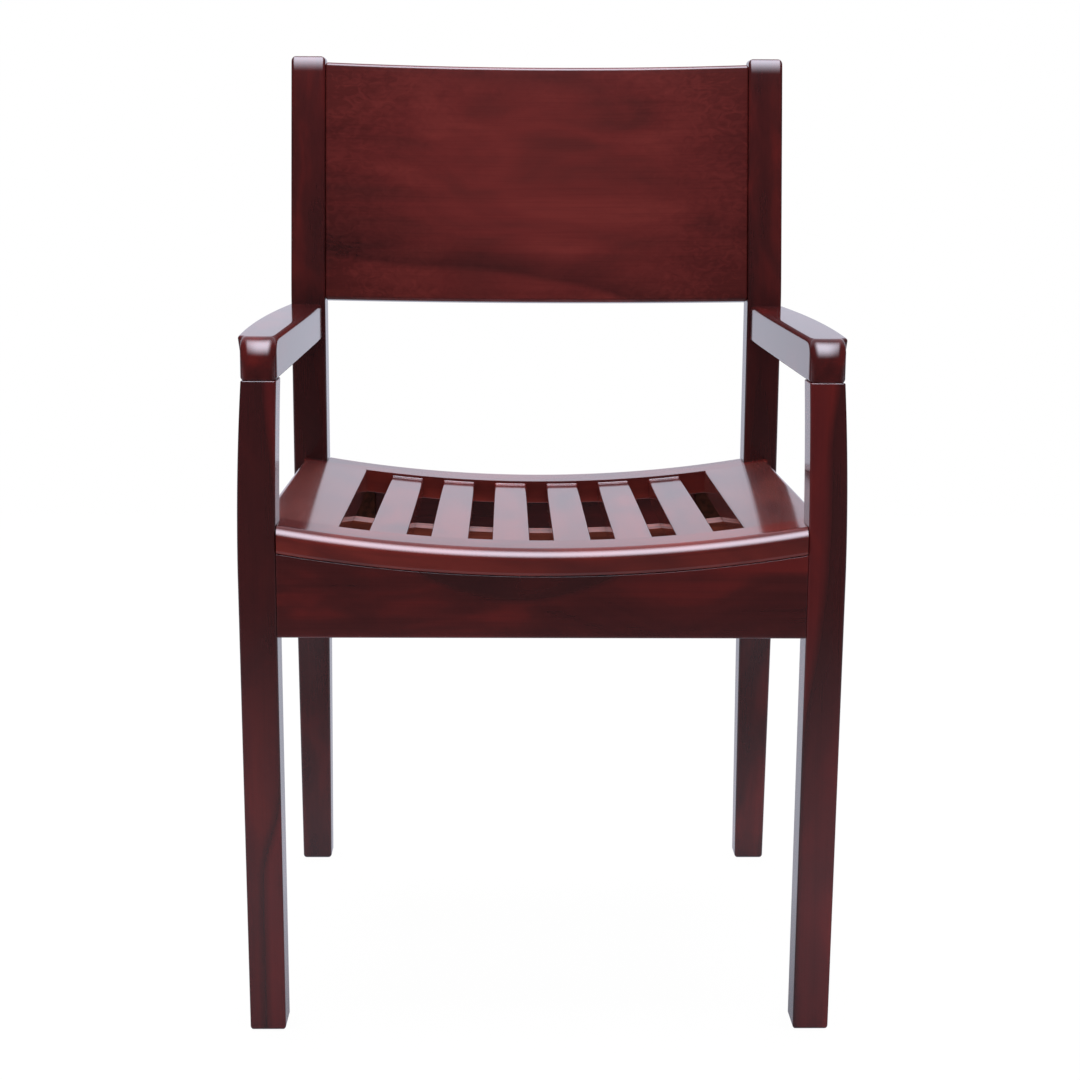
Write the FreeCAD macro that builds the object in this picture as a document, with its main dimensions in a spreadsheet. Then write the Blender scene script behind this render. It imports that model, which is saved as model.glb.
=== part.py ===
"""A slatted wooden armchair, built as a joiner builds it.

Each board, leg, arm and rail is a body of its own. The frame is joined with mortise and tenon,
the seat boards and slats with stub tongues, and the back panel sits in grooves in the posts.
X runs to the sitter's left, as seen from the front to the right, Y runs to the back and Z up.
The bodies are drawn with Y zero at the front face of the front legs, and are then moved
so that the origin lies on the floor under the middle of the chair.
"""
import FreeCAD, Part
import math
import os
import re

import Sketcher

# Driving dimensions, in millimetres and degrees.
SIZES = {
    # front legs
    "leg_span": 538.4,
    "leg_width": 34.0,
    "leg_depth": 35.0,
    "leg_height": 600.0,
    "leg_waist_drop": 22.0,
    "leg_foot_draw_out": 2.5,
    "leg_foot_draw_in": 1.1,
    "leg_top_draw_out": 6.2,
    "leg_top_draw_in": 3.3,
    "leg_foot_round": 4.0,
    "leg_tenon_width": 15.0,
    "leg_tenon_depth": 19.0,
    "leg_tenon_height": 22.0,
    # back posts
    "post_step": 4.4,
    "post_width": 36.6,
    "post_depth": 38.0,
    "post_top_rise": 5.57,
    "post_setback": 433.0,
    "post_knee_drop": 26.5,
    "post_foot_rake": 30.0,
    "post_foot_depth": 30.0,
    "post_foot_taper": 4.6,
    "post_foot_round": 4.5,
    "post_bend_rise": 12.5,
    "post_bend_radius": 180.0,
    "post_top_depth": 29.0,
    "post_top_round": 11.0,
    "post_edge_round": 3.0,
    "recline": 9.6,
    # arms
    "arm_thickness": 37.5,
    "arm_shoulder": 5.0,
    "arm_shoulder_depth": 26.0,
    "arm_bow": 6.0,
    "arm_nose_round": 16.0,
    "arm_edge_round": 3.0,
    "arm_rear_step": 2.5,
    "arm_rear_inset": 3.0,
    "arm_tenon_width": 14.0,
    "arm_tenon_height": 19.0,
    # back panel
    "panel_base_rise": 5.5,
    "panel_height": 255.0,
    "panel_thickness": 18.0,
    "panel_bow": 20.0,
    "panel_setback": 2.0,
    "panel_edge_round": 4.0,
    "panel_tongue_thickness": 8.0,
    "panel_tongue_length": 9.0,
    "panel_tongue_shoulder": 20.0,
    # seat
    "seat_height": 452.0,
    "seat_slope": 0.57,
    "seat_side_inset": 17.2,
    "seat_nosing": 2.0,
    "seat_rear_inset": 2.0,
    "seat_gap": 0.5,
    "dish_radius": 1390.0,
    "board_thickness": 24.0,
    "front_board_width": 49.0,
    "rear_board_width": 53.0,
    "side_board_width": 68.2,
    "nose_round_top": 13.0,
    "nose_round_bottom": 7.0,
    "board_edge_round": 4.0,
    "slat_width": 34.1,
    "slat_side_gap": 27.25,
    "slat_edge_round": 2.0,
    "slat_front_drop": 0.3,
    "slat_rear_drop": 4.0,
    "tongue_thickness": 9.0,
    "tongue_length": 12.0,
    "tongue_shoulder": 5.0,
    # rails under the seat
    "apron_drop": 80.5,
    "front_apron_thickness": 22.0,
    "side_apron_thickness": 18.0,
    "rear_apron_thickness": 20.0,
    "rear_apron_inset": 16.0,
    "seat_overhang": 2.0,
    "tenon_thickness": 9.0,
    "tenon_length": 16.0,
    "tenon_height": 44.0,
    "tenon_shoulder": 9.0,
    "side_tenon_inset": 1.5,
    # cross batten under the slats
    "batten_width": 28.0,
    "batten_height": 24.0,
    "batten_setback": 240.0,
    "batten_tenon_thickness": 12.0,
    "batten_tenon_length": 10.0,
    "batten_tenon_height": 16.0,
    # corner blocks
    "block_reach": 55.0,
    "block_tip": 12.0,
    "block_rise": 26.0,
    # screws
    "screw_diameter": 4.5,
    "screw_head_diameter": 9.0,
    "screw_head_height": 3.0,
    "screw_bite": 14.0,
    "screw_inset": 20.0,
    # fits
    "joint_gap": 0.2,
    "bed_gap": 0.3,
    "end_gap": 1.0,
    "hole_gap": 0.3,
    "overrun": 5.0,
}

SLATS = 6
SIDES = {"left": -1, "right": 1}

doc = FreeCAD.newDocument("Armchair")
sheet = doc.addObject("Spreadsheet::Sheet", "Sizes")
for row, (alias, number) in enumerate(SIZES.items(), start=1):
    sheet.set(f"A{row}", alias)
    sheet.set(f"B{row}", str(number))
    sheet.setAlias(f"B{row}", alias)
doc.recompute()

# Places that several pieces share, as sums of the sizes above.
LEG_OUT = "(leg_span / 2)"
LEG_IN = "(leg_span / 2 - leg_width)"
LEG_TOP_OUT = f"({LEG_OUT} - leg_top_draw_out)"
LEG_TOP_IN = f"({LEG_IN} - leg_top_draw_in)"
LEG_WAIST = "(seat_height - leg_waist_drop)"
POST_OUT = f"({LEG_OUT} - post_step)"
POST_IN = f"({POST_OUT} - post_width)"
ARM_TOP = "(leg_height + arm_thickness)"
ARM_MIDDLE = f"(({LEG_TOP_IN} + {LEG_TOP_OUT}) / 2)"
ARM_REAR_MIDDLE = f"(({POST_IN} + {POST_OUT}) / 2)"
SEAT_HALF = f"({LEG_OUT} - seat_side_inset)"
OPENING_HALF = f"({SEAT_HALF} - side_board_width)"
SLAT_REACH = f"({OPENING_HALF} - slat_side_gap - slat_width / 2)"
FRONT_BOARD_REAR = "(front_board_width - seat_nosing)"
SEAT_REAR = "(post_setback + post_depth - seat_rear_inset)"
REAR_BOARD_FRONT = f"({SEAT_REAR} - rear_board_width)"
SIDE_APRON_OUT = f"({SEAT_HALF} - seat_overhang)"
SIDE_APRON_IN = f"({SIDE_APRON_OUT} - side_apron_thickness)"
SIDE_TENON_OUT = f"({SIDE_APRON_OUT} - side_tenon_inset)"
SIDE_TENON_IN = f"({SIDE_TENON_OUT} - tenon_thickness)"
REAR_APRON_FRONT = "(post_setback + rear_apron_inset)"
APRON_BOTTOM = "(seat_height - apron_drop)"
POST_KNEE = f"({APRON_BOTTOM} - post_knee_drop)"
POST_BEND = f"({ARM_TOP} + post_bend_rise)"
TENON_LOW = f"({APRON_BOTTOM} + tenon_shoulder)"
TENON_HIGH = f"({TENON_LOW} + tenon_height)"
TONGUE_TOP = "((board_thickness - tongue_thickness) / 2)"
TONGUE_FOOT = "((board_thickness + tongue_thickness) / 2)"
BLOCK_BOTTOM = f"({APRON_BOTTOM} + block_rise)"
BATTEN_TOP = "(seat_height - board_thickness - bed_gap - batten_setback * tan(seat_slope))"
BATTEN_BOTTOM = f"({BATTEN_TOP} - batten_height)"
BATTEN_TENON_LOW = f"({BATTEN_BOTTOM} + (batten_height - batten_tenon_height) / 2)"
PANEL_BASE = f"({ARM_TOP} + panel_base_rise)"
POST_TOP = f"({PANEL_BASE} + panel_height * cos(recline) + post_top_rise)"
PANEL_FRONT = "(post_setback + panel_setback - (post_bend_rise - panel_base_rise) * tan(recline))"
PANEL_TONGUE_FRONT = "((panel_thickness - panel_tongue_thickness) / 2)"


def ref(text):
    """Turns the plain size names in an expression into references to the sheet."""
    return re.sub(r"[a-z_]+", lambda word: f"Sizes.{word[0]}" if word[0] in SIZES else word[0], text)


def number(text):
    """Works out an expression on the sheet."""
    result = sheet.evalExpression(ref(str(text)))
    return float(getattr(result, "Value", result))


def mirrored(side, text):
    """An X place on the right, or its mirror image on the left."""
    return f"({text})" if side > 0 else f"-({text})"


def box(x_low, x_high, y_low, y_high):
    """The four corners of a rectangle."""
    return [(x_low, y_low), (x_high, y_low), (x_high, y_high), (x_low, y_high)]


def dish(x, drop="0"):
    """The height, over the middle of the seat, of a circle that lies under the dished seat top."""
    return f"(dish_radius - sqrt((dish_radius + {drop})^2 - ({x})^2))"


def band(x_low, x_high, upper, lower):
    """A strip of the dished seat between two depths under its top."""
    return [
        (x_low, dish(x_low, lower), f"dish_radius + {lower}", -1),
        (x_high, dish(x_high, lower)),
        (x_high, dish(x_high, upper), f"dish_radius + {upper}", 1),
        (x_low, dish(x_low, upper)),
    ]


def drawn_radius(height, draw):
    """The radius of an arc that leaves an upright line and drifts by draw over height."""
    return f"((({height})^2 + ({draw})^2) / (2 * ({draw})))"


def sketch_on(body, plane, lift="0"):
    """An empty sketch on one of the body's own planes, raised along that plane's axis."""
    sketch = body.newObject("Sketcher::SketchObject", "Profile")
    support = next(item for item in body.Origin.OriginFeatures if item.Role == plane)
    sketch.AttachmentSupport = [(support, "")]
    sketch.MapMode = "FlatFace"
    toward = "-" if plane == "XZ_Plane" else ""
    sketch.setExpression(".AttachmentOffset.Base.z", ref(f"{toward}({lift})"))
    return sketch


def arc_between(start, end, radius, bulge):
    """An arc from start to end, bulging left of the way there for a positive bulge.

    Sketch arcs run anticlockwise, so the flag says whether this one runs from start to end.
    """
    chord = end - start
    left = FreeCAD.Vector(-chord.y, chord.x, 0).normalize()
    middle = (start + end) * 0.5
    depth = math.sqrt(max(radius ** 2 - (chord.Length / 2) ** 2, 0))
    centre = middle - left * depth * bulge
    forward = bulge < 0
    first, last = (start, end) if forward else (end, start)
    angles = [math.atan2(point.y - centre.y, point.x - centre.x) for point in (first, last)]
    circle = Part.Circle(centre, FreeCAD.Vector(0, 0, 1), radius)
    return Part.ArcOfCircle(circle, *angles), forward


def draw(sketch, corners):
    """Adds a closed outline whose corners and radii are bound to expressions on the sheet.

    A corner is a pair of places, and may carry the radius and bulge of the arc that leaves it.
    """
    points = [FreeCAD.Vector(number(corner[0]), number(corner[1]), 0) for corner in corners]
    pieces = []
    for place, corner in enumerate(corners):
        start, end = points[place], points[(place + 1) % len(points)]
        if len(corner) > 2:
            shape, forward = arc_between(start, end, number(corner[2]), corner[3])
        else:
            shape, forward = Part.LineSegment(start, end), True
        index = sketch.addGeometry(shape, False)
        pieces.append((index, 1, 2) if forward else (index, 2, 1))
        if len(corner) > 2:
            radius = sketch.addConstraint(Sketcher.Constraint("Radius", index, number(corner[2])))
            sketch.setExpression(f"Constraints[{radius}]", ref(corner[2]))
    for place, corner in enumerate(corners):
        index, start, _ = pieces[place]
        before, _, end = pieces[place - 1]
        sketch.addConstraint(Sketcher.Constraint("Coincident", before, end, index, start))
        for axis, text in zip(("DistanceX", "DistanceY"), corner[:2]):
            datum = sketch.addConstraint(Sketcher.Constraint(axis, -1, 1, index, start, number(text)))
            sketch.setExpression(f"Constraints[{datum}]", ref(text))


def ring(sketch, x, y, diameter):
    """Adds a circle whose place and size are bound to expressions on the sheet."""
    centre = FreeCAD.Vector(number(x), number(y), 0)
    circle = Part.Circle(centre, FreeCAD.Vector(0, 0, 1), number(diameter) / 2)
    index = sketch.addGeometry(circle, False)
    for axis, text in (("DistanceX", x), ("DistanceY", y)):
        datum = sketch.addConstraint(Sketcher.Constraint(axis, -1, 1, index, 3, number(text)))
        sketch.setExpression(f"Constraints[{datum}]", ref(text))
    datum = sketch.addConstraint(Sketcher.Constraint("Diameter", index, number(diameter)))
    sketch.setExpression(f"Constraints[{datum}]", ref(diameter))


def pad(body, plane, outlines, start, length):
    """Adds material from start, over length, along the plane's axis."""
    sketch = sketch_on(body, plane, start)
    for outline in outlines:
        draw(sketch, outline)
    feature = body.newObject("PartDesign::Pad", "Pad")
    feature.Profile = sketch
    feature.Reversed = plane == "XZ_Plane"
    feature.setExpression("Length", ref(length))
    doc.recompute()
    return feature


def checked_cut(body, feature, before):
    """Makes sure that a cut has taken material away."""
    doc.recompute()
    if feature.Shape.Volume >= before:
        raise RuntimeError(f"a cut in {body.Label} takes nothing away")
    return feature


def pocket(body, plane, outlines, start, length):
    """Cuts material away from start, over length, along the plane's axis."""
    before = body.Shape.Volume
    sketch = sketch_on(body, plane, start)
    for outline in outlines:
        draw(sketch, outline)
    feature = body.newObject("PartDesign::Pocket", "Pocket")
    feature.Profile = sketch
    feature.Reversed = plane != "XZ_Plane"
    feature.setExpression("Length", ref(length))
    return checked_cut(body, feature, before)


def cut_through(body, sketch):
    """Cuts a sketch right through the body, both ways."""
    before = body.Shape.Volume
    feature = body.newObject("PartDesign::Pocket", "Through")
    feature.Profile = sketch
    feature.Type = "ThroughAll"
    feature.Midplane = True
    return checked_cut(body, feature, before)


def notch(body, plane, outlines):
    """Cuts outlines right through the body, both ways."""
    sketch = sketch_on(body, plane)
    for outline in outlines:
        draw(sketch, outline)
    return cut_through(body, sketch)


def drill(body, spots, diameter, start, length):
    """Drills upright holes at the given spots, from start upwards over length."""
    before = body.Shape.Volume
    sketch = sketch_on(body, "XY_Plane", start)
    for x, y in spots:
        ring(sketch, x, y, diameter)
    feature = body.newObject("PartDesign::Pocket", "Drill")
    feature.Profile = sketch
    feature.Reversed = True
    feature.setExpression("Length", ref(length))
    return checked_cut(body, feature, before)


def dished_cut(body, start, height, slope, under):
    """Cuts off what stands over a dished surface that starts at a depth and height and slopes to the rear."""
    sketch = sketch_on(body, "XZ_Plane", start)
    sketch.AttachmentOffset = FreeCAD.Placement(
        FreeCAD.Vector(), FreeCAD.Rotation(FreeCAD.Vector(1, 0, 0), -number(slope))
    )
    sketch.setExpression(".AttachmentOffset.Base.y", ref(height))
    sketch.setExpression(".AttachmentOffset.Rotation.Angle", ref(f"-{slope}"))
    reach = f"({LEG_OUT} + overrun)"
    above = f"({dish(reach)} + board_thickness)"
    left, right = f"-{reach}", reach
    draw(sketch, [
        (left, dish(left, under), f"dish_radius + {under}", -1),
        (right, dish(right, under)),
        (right, above),
        (left, above),
    ])
    return cut_through(body, sketch)


def bed(body):
    """Cuts a rail or block off along the sloping, dished underside of the seat."""
    return dished_cut(body, "0", "seat_height", "seat_slope", "(board_thickness + bed_gap)")


def ease(body, radius, chosen):
    """Rounds the edges of the body that the test picks."""
    doc.recompute()
    base = body.Tip
    names = [f"Edge{place}" for place, edge in enumerate(base.Shape.Edges, start=1) if chosen(edge)]
    if not names:
        raise RuntimeError(f"no edge to round on {body.Label}")
    feature = body.newObject("PartDesign::Fillet", "Round")
    feature.Base = (base, names)
    feature.setExpression("Radius", ref(radius))
    doc.recompute()
    return feature


def lies_at(edge, axis, text):
    """Whether all of an edge lies at one place on an axis."""
    place = number(text)
    low, high = getattr(edge.BoundBox, f"{axis}Min"), getattr(edge.BoundBox, f"{axis}Max")
    return abs(low - place) < 1e-4 and abs(high - place) < 1e-4


def runs_along(edge, axis):
    """Whether an edge is straight and lies along one axis."""
    spans = {name: getattr(edge.BoundBox, f"{name}Length") for name in "XYZ"}
    return all(span < 1e-4 for name, span in spans.items() if name != axis) and spans[axis] > 1e-4


def new_body(name):
    """An empty body with the node's name."""
    body = doc.addObject("PartDesign::Body", name)
    body.Label = name
    return body


def on_seat(body):
    """Lays a body that was drawn flat on the slope of the seat."""
    body.Placement = FreeCAD.Placement(
        FreeCAD.Vector(), FreeCAD.Rotation(FreeCAD.Vector(1, 0, 0), -number("seat_slope"))
    )
    body.setExpression(".Placement.Rotation.Angle", ref("-seat_slope"))
    body.setExpression(".Placement.Base.z", ref("seat_height"))


def front_leg(name, side):
    """A front leg that widens from foot to seat and draws in, in a curve, under the arm."""
    body = new_body(name)
    upper = f"(leg_height - {LEG_WAIST})"
    outline = [
        (mirrored(side, f"{LEG_IN} - leg_foot_draw_in"), "0"),
        (mirrored(side, f"{LEG_OUT} - leg_foot_draw_out"), "0"),
        (
            mirrored(side, LEG_OUT), LEG_WAIST,
            drawn_radius(upper, "leg_top_draw_out"), -side,
        ),
        (mirrored(side, LEG_TOP_OUT), "leg_height"),
        (
            mirrored(side, LEG_TOP_IN), "leg_height",
            drawn_radius(upper, "leg_top_draw_in"), side,
        ),
        (mirrored(side, LEG_IN), LEG_WAIST),
    ]
    pad(body, "XZ_Plane", [outline], "0", "leg_depth")
    ease(body, "leg_foot_round", lambda edge: lies_at(edge, "Z", "0"))
    middle = mirrored(side, ARM_MIDDLE)
    tenon = box(
        f"{middle} - leg_tenon_width / 2", f"{middle} + leg_tenon_width / 2",
        "(leg_depth - leg_tenon_depth) / 2", "(leg_depth + leg_tenon_depth) / 2",
    )
    pad(body, "XY_Plane", [tenon], "leg_height - overrun", "leg_tenon_height + overrun")
    front_mortise = box(
        mirrored(side, f"{LEG_IN} - overrun"), mirrored(side, f"{LEG_IN} + tenon_length + end_gap"),
        TENON_LOW, TENON_HIGH,
    )
    start = "(front_apron_thickness - tenon_thickness) / 2"
    pocket(body, "XZ_Plane", [front_mortise], start, "tenon_thickness")
    side_mortise = box("leg_depth - tenon_length - end_gap", "leg_depth + overrun", TENON_LOW, TENON_HIGH)
    start = SIDE_TENON_IN if side > 0 else f"-{SIDE_TENON_OUT}"
    pocket(body, "YZ_Plane", [side_mortise], start, "tenon_thickness")
    return body


def back_post(name, side):
    """A back leg and post sawn from one board: raked below the seat, reclined above the arm."""
    body = new_body(name)
    lean = f"(({POST_TOP} - {POST_BEND}) * tan(recline))"
    outline = [
        ("post_setback + post_foot_rake", "0"),
        ("post_setback + post_foot_rake + post_foot_depth", "0"),
        ("post_setback + post_depth", POST_KNEE),
        ("post_setback + post_depth", POST_BEND),
        (f"post_setback + post_top_depth + {lean}", POST_TOP),
        (f"post_setback + {lean}", POST_TOP),
        ("post_setback", POST_BEND),
        ("post_setback", POST_KNEE),
    ]
    start = POST_IN if side > 0 else f"-{POST_OUT}"
    pad(body, "YZ_Plane", [outline], start, "post_width")

    def is_bend(edge):
        return runs_along(edge, "X") and (lies_at(edge, "Z", POST_KNEE) or lies_at(edge, "Z", POST_BEND))

    def is_front_top(edge):
        return runs_along(edge, "X") and lies_at(edge, "Z", POST_TOP) and lies_at(
            edge, "Y", f"post_setback + {lean}"
        )

    ease(body, "post_bend_radius", is_bend)
    ease(body, "post_top_round", is_front_top)
    ease(body, "post_edge_round", lambda edge: lies_at(edge, "Z", POST_TOP))
    taper = [
        (mirrored(side, f"{POST_IN} - overrun"), "0"),
        (mirrored(side, f"{POST_IN} + post_foot_taper"), "0"),
        (mirrored(side, POST_IN), POST_KNEE),
        (mirrored(side, f"{POST_IN} - overrun"), POST_KNEE),
    ]
    notch(body, "XZ_Plane", [taper])
    ease(body, "post_foot_round", lambda edge: lies_at(edge, "Z", "0"))
    mortise_end = "post_setback + tenon_length + end_gap"
    side_mortise = box("post_setback - overrun", mortise_end, TENON_LOW, TENON_HIGH)
    start = SIDE_TENON_IN if side > 0 else f"-{SIDE_TENON_OUT}"
    pocket(body, "YZ_Plane", [side_mortise], start, "tenon_thickness")
    rear_mortise = box(
        mirrored(side, f"{POST_IN} - overrun"), mirrored(side, f"{POST_IN} + tenon_length + end_gap"),
        TENON_LOW, TENON_HIGH,
    )
    start = f"{REAR_APRON_FRONT} + (rear_apron_thickness - tenon_thickness) / 2"
    pocket(body, "XZ_Plane", [rear_mortise], start, "tenon_thickness")
    middle = mirrored(side, ARM_REAR_MIDDLE)
    arm_mortise = box(
        f"{middle} - arm_tenon_width / 2", f"{middle} + arm_tenon_width / 2",
        "leg_height + (arm_thickness - arm_tenon_height) / 2",
        "leg_height + (arm_thickness + arm_tenon_height) / 2",
    )
    pocket(body, "XZ_Plane", [arm_mortise], "post_setback - overrun", "overrun + tenon_length + end_gap")
    groove(body, side)
    return body


def groove(body, side):
    """Cuts the reclined groove that holds one end of the back panel."""
    before = body.Shape.Volume
    start = f"{POST_IN} - overrun" if side > 0 else f"-({POST_IN} + panel_tongue_length + end_gap)"
    sketch = sketch_on(body, "YZ_Plane", start)
    sketch.AttachmentOffset = FreeCAD.Placement(
        FreeCAD.Vector(), FreeCAD.Rotation(FreeCAD.Vector(0, 0, 1), -number("recline"))
    )
    sketch.setExpression(".AttachmentOffset.Base.x", ref(PANEL_FRONT))
    sketch.setExpression(".AttachmentOffset.Base.y", ref(PANEL_BASE))
    sketch.setExpression(".AttachmentOffset.Rotation.Angle", ref("-recline"))
    draw(sketch, box(
        PANEL_TONGUE_FRONT, f"{PANEL_TONGUE_FRONT} + panel_tongue_thickness",
        "panel_tongue_shoulder", "panel_height - panel_tongue_shoulder",
    ))
    feature = body.newObject("PartDesign::Pocket", "Groove")
    feature.Profile = sketch
    feature.Reversed = True
    feature.setExpression("Length", ref("overrun + panel_tongue_length + end_gap"))
    checked_cut(body, feature, before)


def arm(name, side):
    """An arm that swells behind its round nose, bows outwards and has a tenon into the post."""
    body = new_body(name)
    front_in, front_out = LEG_TOP_IN, LEG_TOP_OUT
    rear_in, rear_out = f"({POST_IN} + arm_rear_inset)", f"({POST_OUT} + arm_rear_step)"
    shoulder = f"({front_out} + arm_shoulder)"
    chord = f"((post_setback - arm_shoulder_depth)^2 + ({rear_out} - {shoulder})^2)"
    bow_radius = f"({chord} / (8 * arm_bow) + arm_bow / 2)"
    outline = [
        (mirrored(side, front_in), "0"),
        (mirrored(side, front_out), "0"),
        (mirrored(side, shoulder), "arm_shoulder_depth", bow_radius, -side),
        (mirrored(side, rear_out), "post_setback"),
        (mirrored(side, rear_in), "post_setback"),
    ]
    pad(body, "XY_Plane", [outline], "leg_height", "arm_thickness")
    ease(body, "arm_nose_round", lambda edge: lies_at(edge, "Y", "0") and lies_at(edge, "Z", ARM_TOP))

    def is_side(edge):
        middle = edge.BoundBox.Center
        across = edge.BoundBox.XLength > number("leg_tenon_width")
        low = lies_at(edge, "Z", "leg_height")
        rear = lies_at(edge, "Y", "post_setback")
        return not (across or low or rear) and middle.y < number("post_setback")

    ease(body, "arm_edge_round", is_side)
    middle = mirrored(side, ARM_MIDDLE)
    mortise = box(
        f"{middle} - leg_tenon_width / 2", f"{middle} + leg_tenon_width / 2",
        "(leg_depth - leg_tenon_depth) / 2", "(leg_depth + leg_tenon_depth) / 2",
    )
    pocket(body, "XY_Plane", [mortise], "leg_height - overrun", "overrun + leg_tenon_height + end_gap")
    middle = mirrored(side, ARM_REAR_MIDDLE)
    tenon = box(
        f"{middle} - arm_tenon_width / 2", f"{middle} + arm_tenon_width / 2",
        "leg_height + (arm_thickness - arm_tenon_height) / 2",
        "leg_height + (arm_thickness + arm_tenon_height) / 2",
    )
    pad(body, "XZ_Plane", [tenon], "post_setback - overrun", "overrun + tenon_length")
    return body


def back_panel(name):
    """A back panel bowed towards the rear, with a tongue at each end."""
    body = new_body(name)
    half = f"({POST_IN} - joint_gap)"
    front_radius = f"(({half}^2 + panel_bow^2) / (2 * panel_bow))"
    rear_radius = f"({front_radius} + panel_thickness)"
    rear = f"(panel_bow - {front_radius} + sqrt({rear_radius}^2 - {half}^2))"
    outline = [
        (f"-{half}", "0", front_radius, 1),
        (half, "0"),
        (half, rear, rear_radius, -1),
        (f"-{half}", rear),
    ]
    pad(body, "XY_Plane", [outline], "0", "panel_height")
    ease(body, "panel_edge_round", lambda edge: (
        (lies_at(edge, "Z", "panel_height") or lies_at(edge, "Z", "0"))
        and edge.BoundBox.XLength > number(half)
    ))
    tongue_rear = f"({PANEL_TONGUE_FRONT} + panel_tongue_thickness)"
    tongues = [
        box(
            mirrored(side, f"{half} - overrun"), mirrored(side, f"{POST_IN} + panel_tongue_length"),
            PANEL_TONGUE_FRONT, tongue_rear,
        )
        for side in SIDES.values()
    ]
    pad(body, "XY_Plane", tongues, "panel_tongue_shoulder", "panel_height - 2 * panel_tongue_shoulder")
    body.Placement = FreeCAD.Placement(
        FreeCAD.Vector(), FreeCAD.Rotation(FreeCAD.Vector(1, 0, 0), -number("recline"))
    )
    body.setExpression(".Placement.Rotation.Angle", ref("-recline"))
    body.setExpression(".Placement.Base.z", ref(PANEL_BASE))
    return body


def slat_edges(place):
    """The X places of a slat's two sides, counted from the left and spread evenly between the side boards."""
    middle = f"{SLAT_REACH} * {2 * place / (SLATS - 1) - 1}"
    return f"({middle} - slat_width / 2)", f"({middle} + slat_width / 2)"


def seat_sockets():
    """The sockets that the front and rear boards have for the slats and the side boards."""
    spans = [slat_edges(place) for place in range(SLATS)]
    spans += [(f"-{SEAT_HALF}", f"-{OPENING_HALF}"), (OPENING_HALF, SEAT_HALF)]
    return [
        band(f"({low} + tongue_shoulder)", f"({high} - tongue_shoulder)", TONGUE_TOP, TONGUE_FOOT)
        for low, high in spans
    ]


def crosses_seat(edge, y, high):
    """Whether an edge runs across the seat at a depth, along the top or the underside of its board."""
    middle = edge.valueAt((edge.FirstParameter + edge.LastParameter) / 2)
    top = middle.z > -number("board_thickness") / 2
    return lies_at(edge, "Y", y) and edge.BoundBox.XLength > number(POST_IN) and top == high


def seat_front_board(name):
    """The front seat board, with a round nosing between the legs and notches round them."""
    body = new_body(name)
    section = band(f"-{SEAT_HALF}", SEAT_HALF, "0", "board_thickness")
    pad(body, "XZ_Plane", [section], "-seat_nosing", "front_board_width")
    notches = [
        box(
            mirrored(side, f"{LEG_IN} - seat_gap"), mirrored(side, f"{SEAT_HALF} + overrun"),
            "-seat_nosing - overrun", "leg_depth + seat_gap",
        )
        for side in SIDES.values()
    ]
    notch(body, "XY_Plane", notches)

    ease(body, "nose_round_top", lambda edge: crosses_seat(edge, "-seat_nosing", True))
    ease(body, "nose_round_bottom", lambda edge: crosses_seat(edge, "-seat_nosing", False))
    start = f"{FRONT_BOARD_REAR} - tongue_length - end_gap"
    pocket(body, "XZ_Plane", seat_sockets(), start, "tongue_length + end_gap + overrun")
    on_seat(body)
    return body


def seat_rear_board(name):
    """The rear seat board, notched round the posts."""
    body = new_body(name)
    section = band(f"-{SEAT_HALF}", SEAT_HALF, "0", "board_thickness")
    pad(body, "XZ_Plane", [section], REAR_BOARD_FRONT, "rear_board_width")
    notches = [
        box(
            mirrored(side, f"{POST_IN} - seat_gap"), mirrored(side, f"{SEAT_HALF} + overrun"),
            "post_setback - seat_gap", f"{SEAT_REAR} + overrun",
        )
        for side in SIDES.values()
    ]
    notch(body, "XY_Plane", notches)

    ease(body, "board_edge_round", lambda edge: crosses_seat(edge, SEAT_REAR, True))
    start = f"{REAR_BOARD_FRONT} - overrun"
    pocket(body, "XZ_Plane", seat_sockets(), start, "overrun + tongue_length + end_gap")
    on_seat(body)
    return body


def tongues(body, low, high):
    """Adds the stub tongues of a seat piece that runs from the front board to the rear board."""
    section = band(f"({low} + tongue_shoulder)", f"({high} - tongue_shoulder)", TONGUE_TOP, TONGUE_FOOT)
    length = f"{REAR_BOARD_FRONT} - {FRONT_BOARD_REAR} + 2 * tongue_length"
    pad(body, "XZ_Plane", [section], f"{FRONT_BOARD_REAR} - tongue_length", length)


def screw_spots(side):
    """The two screws that come up through the corner blocks of one side."""
    x = f"({SIDE_APRON_IN} - screw_inset)"
    front = f"({FRONT_BOARD_REAR} + screw_inset / 2)"
    rear = f"({REAR_BOARD_FRONT} - screw_inset / 2)"
    return [(mirrored(side, x), front), (mirrored(side, x), rear)]


def seat_side_board(name, side):
    """A seat board beside the slats, screwed down on the corner blocks."""
    body = new_body(name)
    low, high = (OPENING_HALF, SEAT_HALF) if side > 0 else (f"-{SEAT_HALF}", f"-{OPENING_HALF}")
    length = f"{REAR_BOARD_FRONT} - {FRONT_BOARD_REAR}"
    pad(body, "XZ_Plane", [band(low, high, "0", "board_thickness")], FRONT_BOARD_REAR, length)

    def is_top(edge, place):
        middle = edge.BoundBox.Center
        return runs_along(edge, "Y") and lies_at(edge, "X", place) and middle.z > number(
            f"{dish(place)} - board_thickness / 2"
        )

    outer, inner = (high, low) if side > 0 else (low, high)
    ease(body, "board_edge_round", lambda edge: is_top(edge, outer))
    ease(body, "slat_edge_round", lambda edge: is_top(edge, inner))
    tongues(body, low, high)
    shift = "(board_thickness * tan(seat_slope))"
    spots = [(x, f"{y} + {shift}") for x, y in screw_spots(side)]
    top = f"({dish(f'{SIDE_APRON_IN} - screw_inset')} - board_thickness + screw_bite + end_gap)"
    start = "-board_thickness"
    drill(body, spots, "screw_diameter + 2 * hole_gap", start, f"{top} + board_thickness")
    on_seat(body)
    return body


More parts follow.
